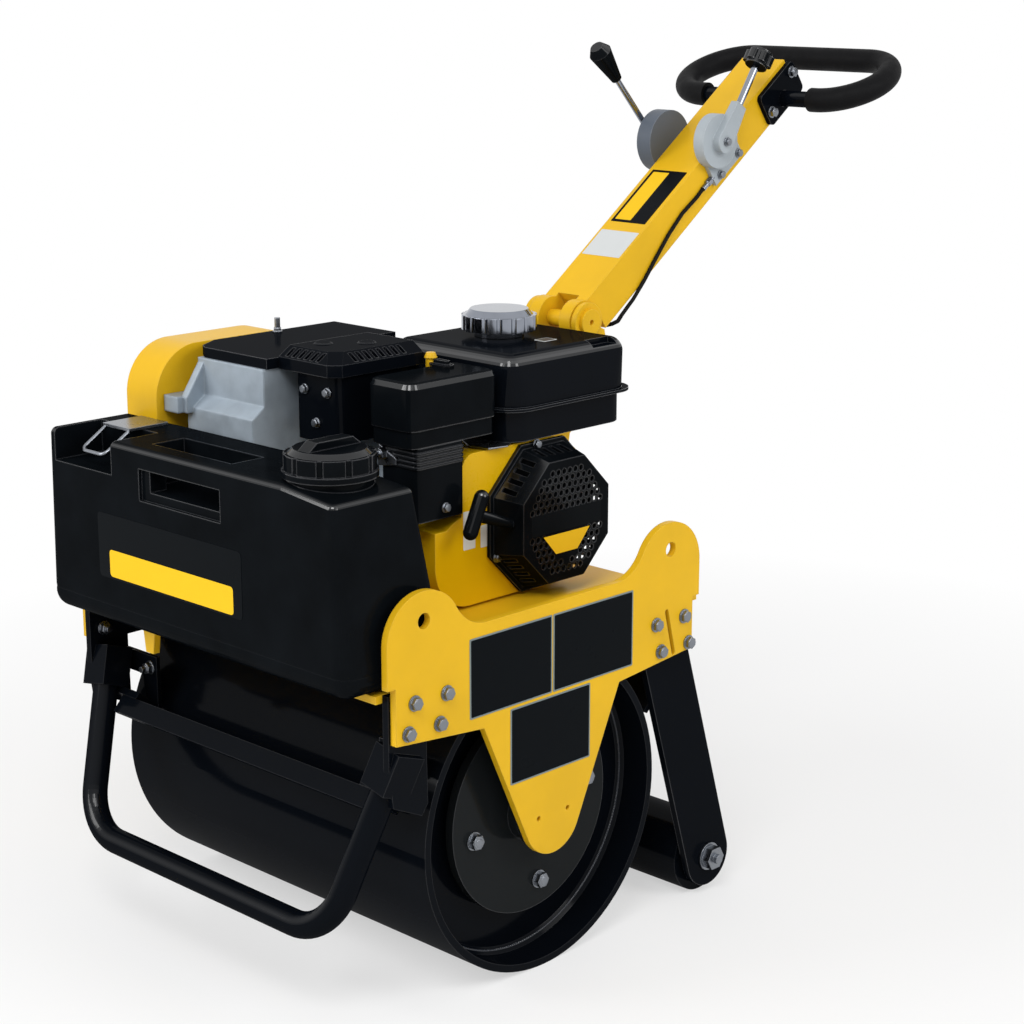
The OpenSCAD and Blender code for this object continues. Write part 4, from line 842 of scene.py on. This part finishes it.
class ROLLER_OT_trim(Operator):
    """Add the lid's knobs, bright trim, cable's ends, guard's bosses and scraper's hangers"""

    bl_idname = "roller.trim"
    bl_label = "Trim"

    def execute(self, context):
        self.lid_knobs()
        self.bright_trim()
        self.cable_ends()
        self.guard_bosses()
        self.scraper_hangers()
        return {"FINISHED"}

    @staticmethod
    def lid_knobs():
        """The yellow knob beside the air cleaner and the black one on its lid."""
        form = Form()
        beside = edge("air_cleaner", Y, LOW) - 6.5
        form.bar((-34, beside, LID_TOP - 20), UP, 7.0, 32, sides=24)
        form.bar((-34, beside, LID_TOP + 8), UP, 9.0, 7, tip=6.0, sides=24)
        form.slot = 1
        for half, radius, rise in (((9, 19), 8.0, 3), ((4, 13), 3.0, 8)):
            form.sheet((-32, 82, LID_TOP), FORWARD, LEFT, half, radius, (0, 0, rise))
        form.piece("LidKnobs", "frame", ("yellow_paint", "engine_plastic"))

    @staticmethod
    def bright_trim():
        """The hood's stud, the plate on the shroud, and the panel's nut and bracket."""
        form = Form()
        form.bar((*HOOD_STUD, HOOD_TOP), UP, 4.0, 20, sides=16)
        shroud_top = edge("fan_shroud", Z, HIGH)
        form.slab([(x, y, shroud_top) for x, y in (
            (-72, 76), (-100, 112), (-104, 140), (-84, 152), (-54, 146), (-50, 112))], (0, 0, 2))
        panel_front = edge("carburettor_cover", X, HIGH)
        for radius, length, sides in ((8.0, 12, 6), (4.0, 20, 16)):
            form.bar((panel_front - 2, 88, 668), FORWARD, radius, length, sides=sides)
        form.slab([(panel_front - 1, y, z) for y, z in (
            (78, 650), (112, 656), (112, 664), (78, 680))], (3, 0, 0))
        form.piece("BrightTrim", "frame", ("plated_steel",), "plated_steel")

    @staticmethod
    def cable_ends():
        """The ferrule at the lever's box, and the cable's last bend with its grommet."""
        form = Form()
        y = ARM_SIDE + CABLE_RADIUS
        form.bar(on_arm(306, y, -35), ARM_UP, 4.2, 28, sides=20)
        form.bar(on_arm(318, y, -35), ARM_UP, 6.0, 9, sides=6)
        form.slot = 1
        bends = [on_arm(*place) for place in CABLE_TAIL]
        for start, end in zip(bends, bends[1:]):
            form.bar(start, end - start, CABLE_RADIUS, (end - start).length, sides=16)
            form.ball(end, CABLE_RADIUS)
        form.bar(bends[-1] - ARM_OUT * 3.0, ARM_OUT, 8.0, 4.0, sides=24)
        form.piece("CableEnds", "handle", ("chrome", "rubber"), "chrome")

    @staticmethod
    def guard_bosses():
        form = Form()
        for x, y in ((69, -36), (25, 0)):
            form.bar((x, y, MUFFLER_TOP - 0.5), UP, 13, 2.0, tip=11, sides=28)
        form.piece("GuardBosses", "frame", ("black_paint",), "black_paint")

    @staticmethod
    def scraper_hangers():
        form = Form()
        outline = ((PLATE_BACK, 354), (226, 354), (226, 276), (252, 276), (258, 324),
                   (PLATE_BACK, 324))
        for side in (-1, 1):
            form.slab([(HANGER_X, side * y, z) for y, z in outline], (HANGER_T, 0, 0))
        form.piece("ScraperHangers", "frame", ("black_paint",), "black_paint")


FLOOR_HALF = 60.0
# Metres from the middle between which the floor turns white, and how white it is at each
FLOOR_FADE, FLOOR_WHITE = (0.7, 1.7), (0.55, 1.0)
SKY_LIGHT = 0.5
LIGHT_SIZE, LIGHT_AIM = 1.6, (-0.2, 0.0, 0.5)
LIGHTS = {"KeyLight": ((2.2, 1.6, 3.4), 66.0), "SideLight": ((-1.0, 3.2, 2.4), 42.0),
          "FrontLight": ((3.0, -1.6, 2.2), 55.0)}


class ROLLER_OT_stage(Operator):
    """Build the floor, the world, the lights and the camera"""

    bl_idname = "roller.stage"
    bl_label = "Stage"

    def execute(self, context):
        studio = context.scene.roller_studio
        self.floor(context, studio)
        self.world(context)
        self.lights(context)
        self.camera(context, studio)
        context.scene.view_settings.view_transform = "Standard"
        return {"FINISHED"}

    @staticmethod
    def floor(context, studio):
        """A pale floor that keeps the shadow near the machine and turns white further out."""
        mesh = bpy.data.meshes.new("Floor")
        mesh.from_pydata([(FLOOR_HALF * i, FLOOR_HALF * j, 0) for i, j in (
            (-1, -1), (1, -1), (1, 1), (-1, 1))], [], [(0, 1, 2, 3)])
        floor = bpy.data.objects.new("Floor", mesh)
        context.scene.collection.objects.link(floor)
        finish = Finish.material("PaleFloor", Roughness=0.9, Specular_IOR_Level=0.1)
        finish.feed("Base Color", finish.tones(finish.noise(1.5), studio.backdrop, 0.99, 1.01))
        far = finish.spread(finish.place().length(), *FLOOR_WHITE, *FLOOR_FADE)
        white = finish.add("ShaderNodeEmission", sockets={"Strength": 1.0})
        blend = finish.tree.nodes.new("ShaderNodeMixShader")
        finish.link(far * finish.seen(), blend.inputs["Fac"])
        finish.tree.links.new(finish.shader.outputs[0], blend.inputs[1])
        finish.link(white, blend.inputs[2])
        finish.tree.links.new(blend.outputs[0], finish.tree.nodes["Material Output"].inputs[0])
        mesh.materials.append(finish.made)

    @staticmethod
    def world(context):
        world = bpy.data.worlds.new("Studio")
        world.use_nodes = True
        sky = Finish(world.node_tree, "Background")
        sky.feed("Color", (1.0, 1.0, 1.0, 1.0))
        sky.feed("Strength", sky.spread(sky.seen(), SKY_LIGHT, 1.0))
        context.scene.world = world

    @staticmethod
    def lights(context):
        for name, (place, power) in LIGHTS.items():
            data = bpy.data.lights.new(name, "AREA")
            data.shape = "SQUARE"
            data.size = LIGHT_SIZE
            data.energy = power
            lamp = bpy.data.objects.new(name, data)
            lamp.location = AXLE + Vector(place)
            aim = AXLE + Vector(LIGHT_AIM) - lamp.location
            lamp.rotation_euler = aim.to_track_quat("-Z", "Y").to_euler()
            context.scene.collection.objects.link(lamp)

    @staticmethod
    def camera(context, studio):
        data = bpy.data.cameras.new("PhotoCamera")
        data.sensor_width = 36.0
        data.lens = studio.lens
        data.clip_end = 300.0
        camera = bpy.data.objects.new("PhotoCamera", data)
        camera.location = AXLE + Vector(studio.camera_place)
        forward = Vector((
            math.cos(studio.yaw) * math.cos(studio.pitch),
            math.sin(studio.yaw) * math.cos(studio.pitch), -math.sin(studio.pitch)))
        camera.rotation_euler = forward.to_track_quat("-Z", "Y").to_euler()
        context.scene.collection.objects.link(camera)
        context.scene.camera = camera


OPERATORS = (ROLLER_OT_finishes, ROLLER_OT_fasteners, ROLLER_OT_welds, ROLLER_OT_labels,
             ROLLER_OT_trim, ROLLER_OT_stage)


class ROLLER_PT_panel(Panel):
    """Lists the steps that dress the roller"""

    bl_label = "Roller"
    bl_idname = "ROLLER_PT_panel"
    bl_space_type = "VIEW_3D"
    bl_region_type = "UI"
    bl_category = "Roller"

    def draw(self, context):
        for operator in OPERATORS:
            self.layout.operator(operator.bl_idname)


GROUPS = {"roller_colours": RollerColours, "roller_bolts": RollerBolts,
          "roller_studio": RollerStudio}
CLASSES = (*GROUPS.values(), *OPERATORS, ROLLER_PT_panel)


def register():
    for cls in CLASSES:
        bpy.utils.register_class(cls)
    for name, group in GROUPS.items():
        setattr(bpy.types.Scene, name, PointerProperty(type=group))


def unregister():
    for name in GROUPS:
        delattr(bpy.types.Scene, name)
    for cls in reversed(CLASSES):
        bpy.utils.unregister_class(cls)


def main():
    register()
    for operator in OPERATORS:
        group, name = operator.bl_idname.split(".")
        getattr(getattr(bpy.ops, group), name)()


if __name__ == "__main__":
    main()
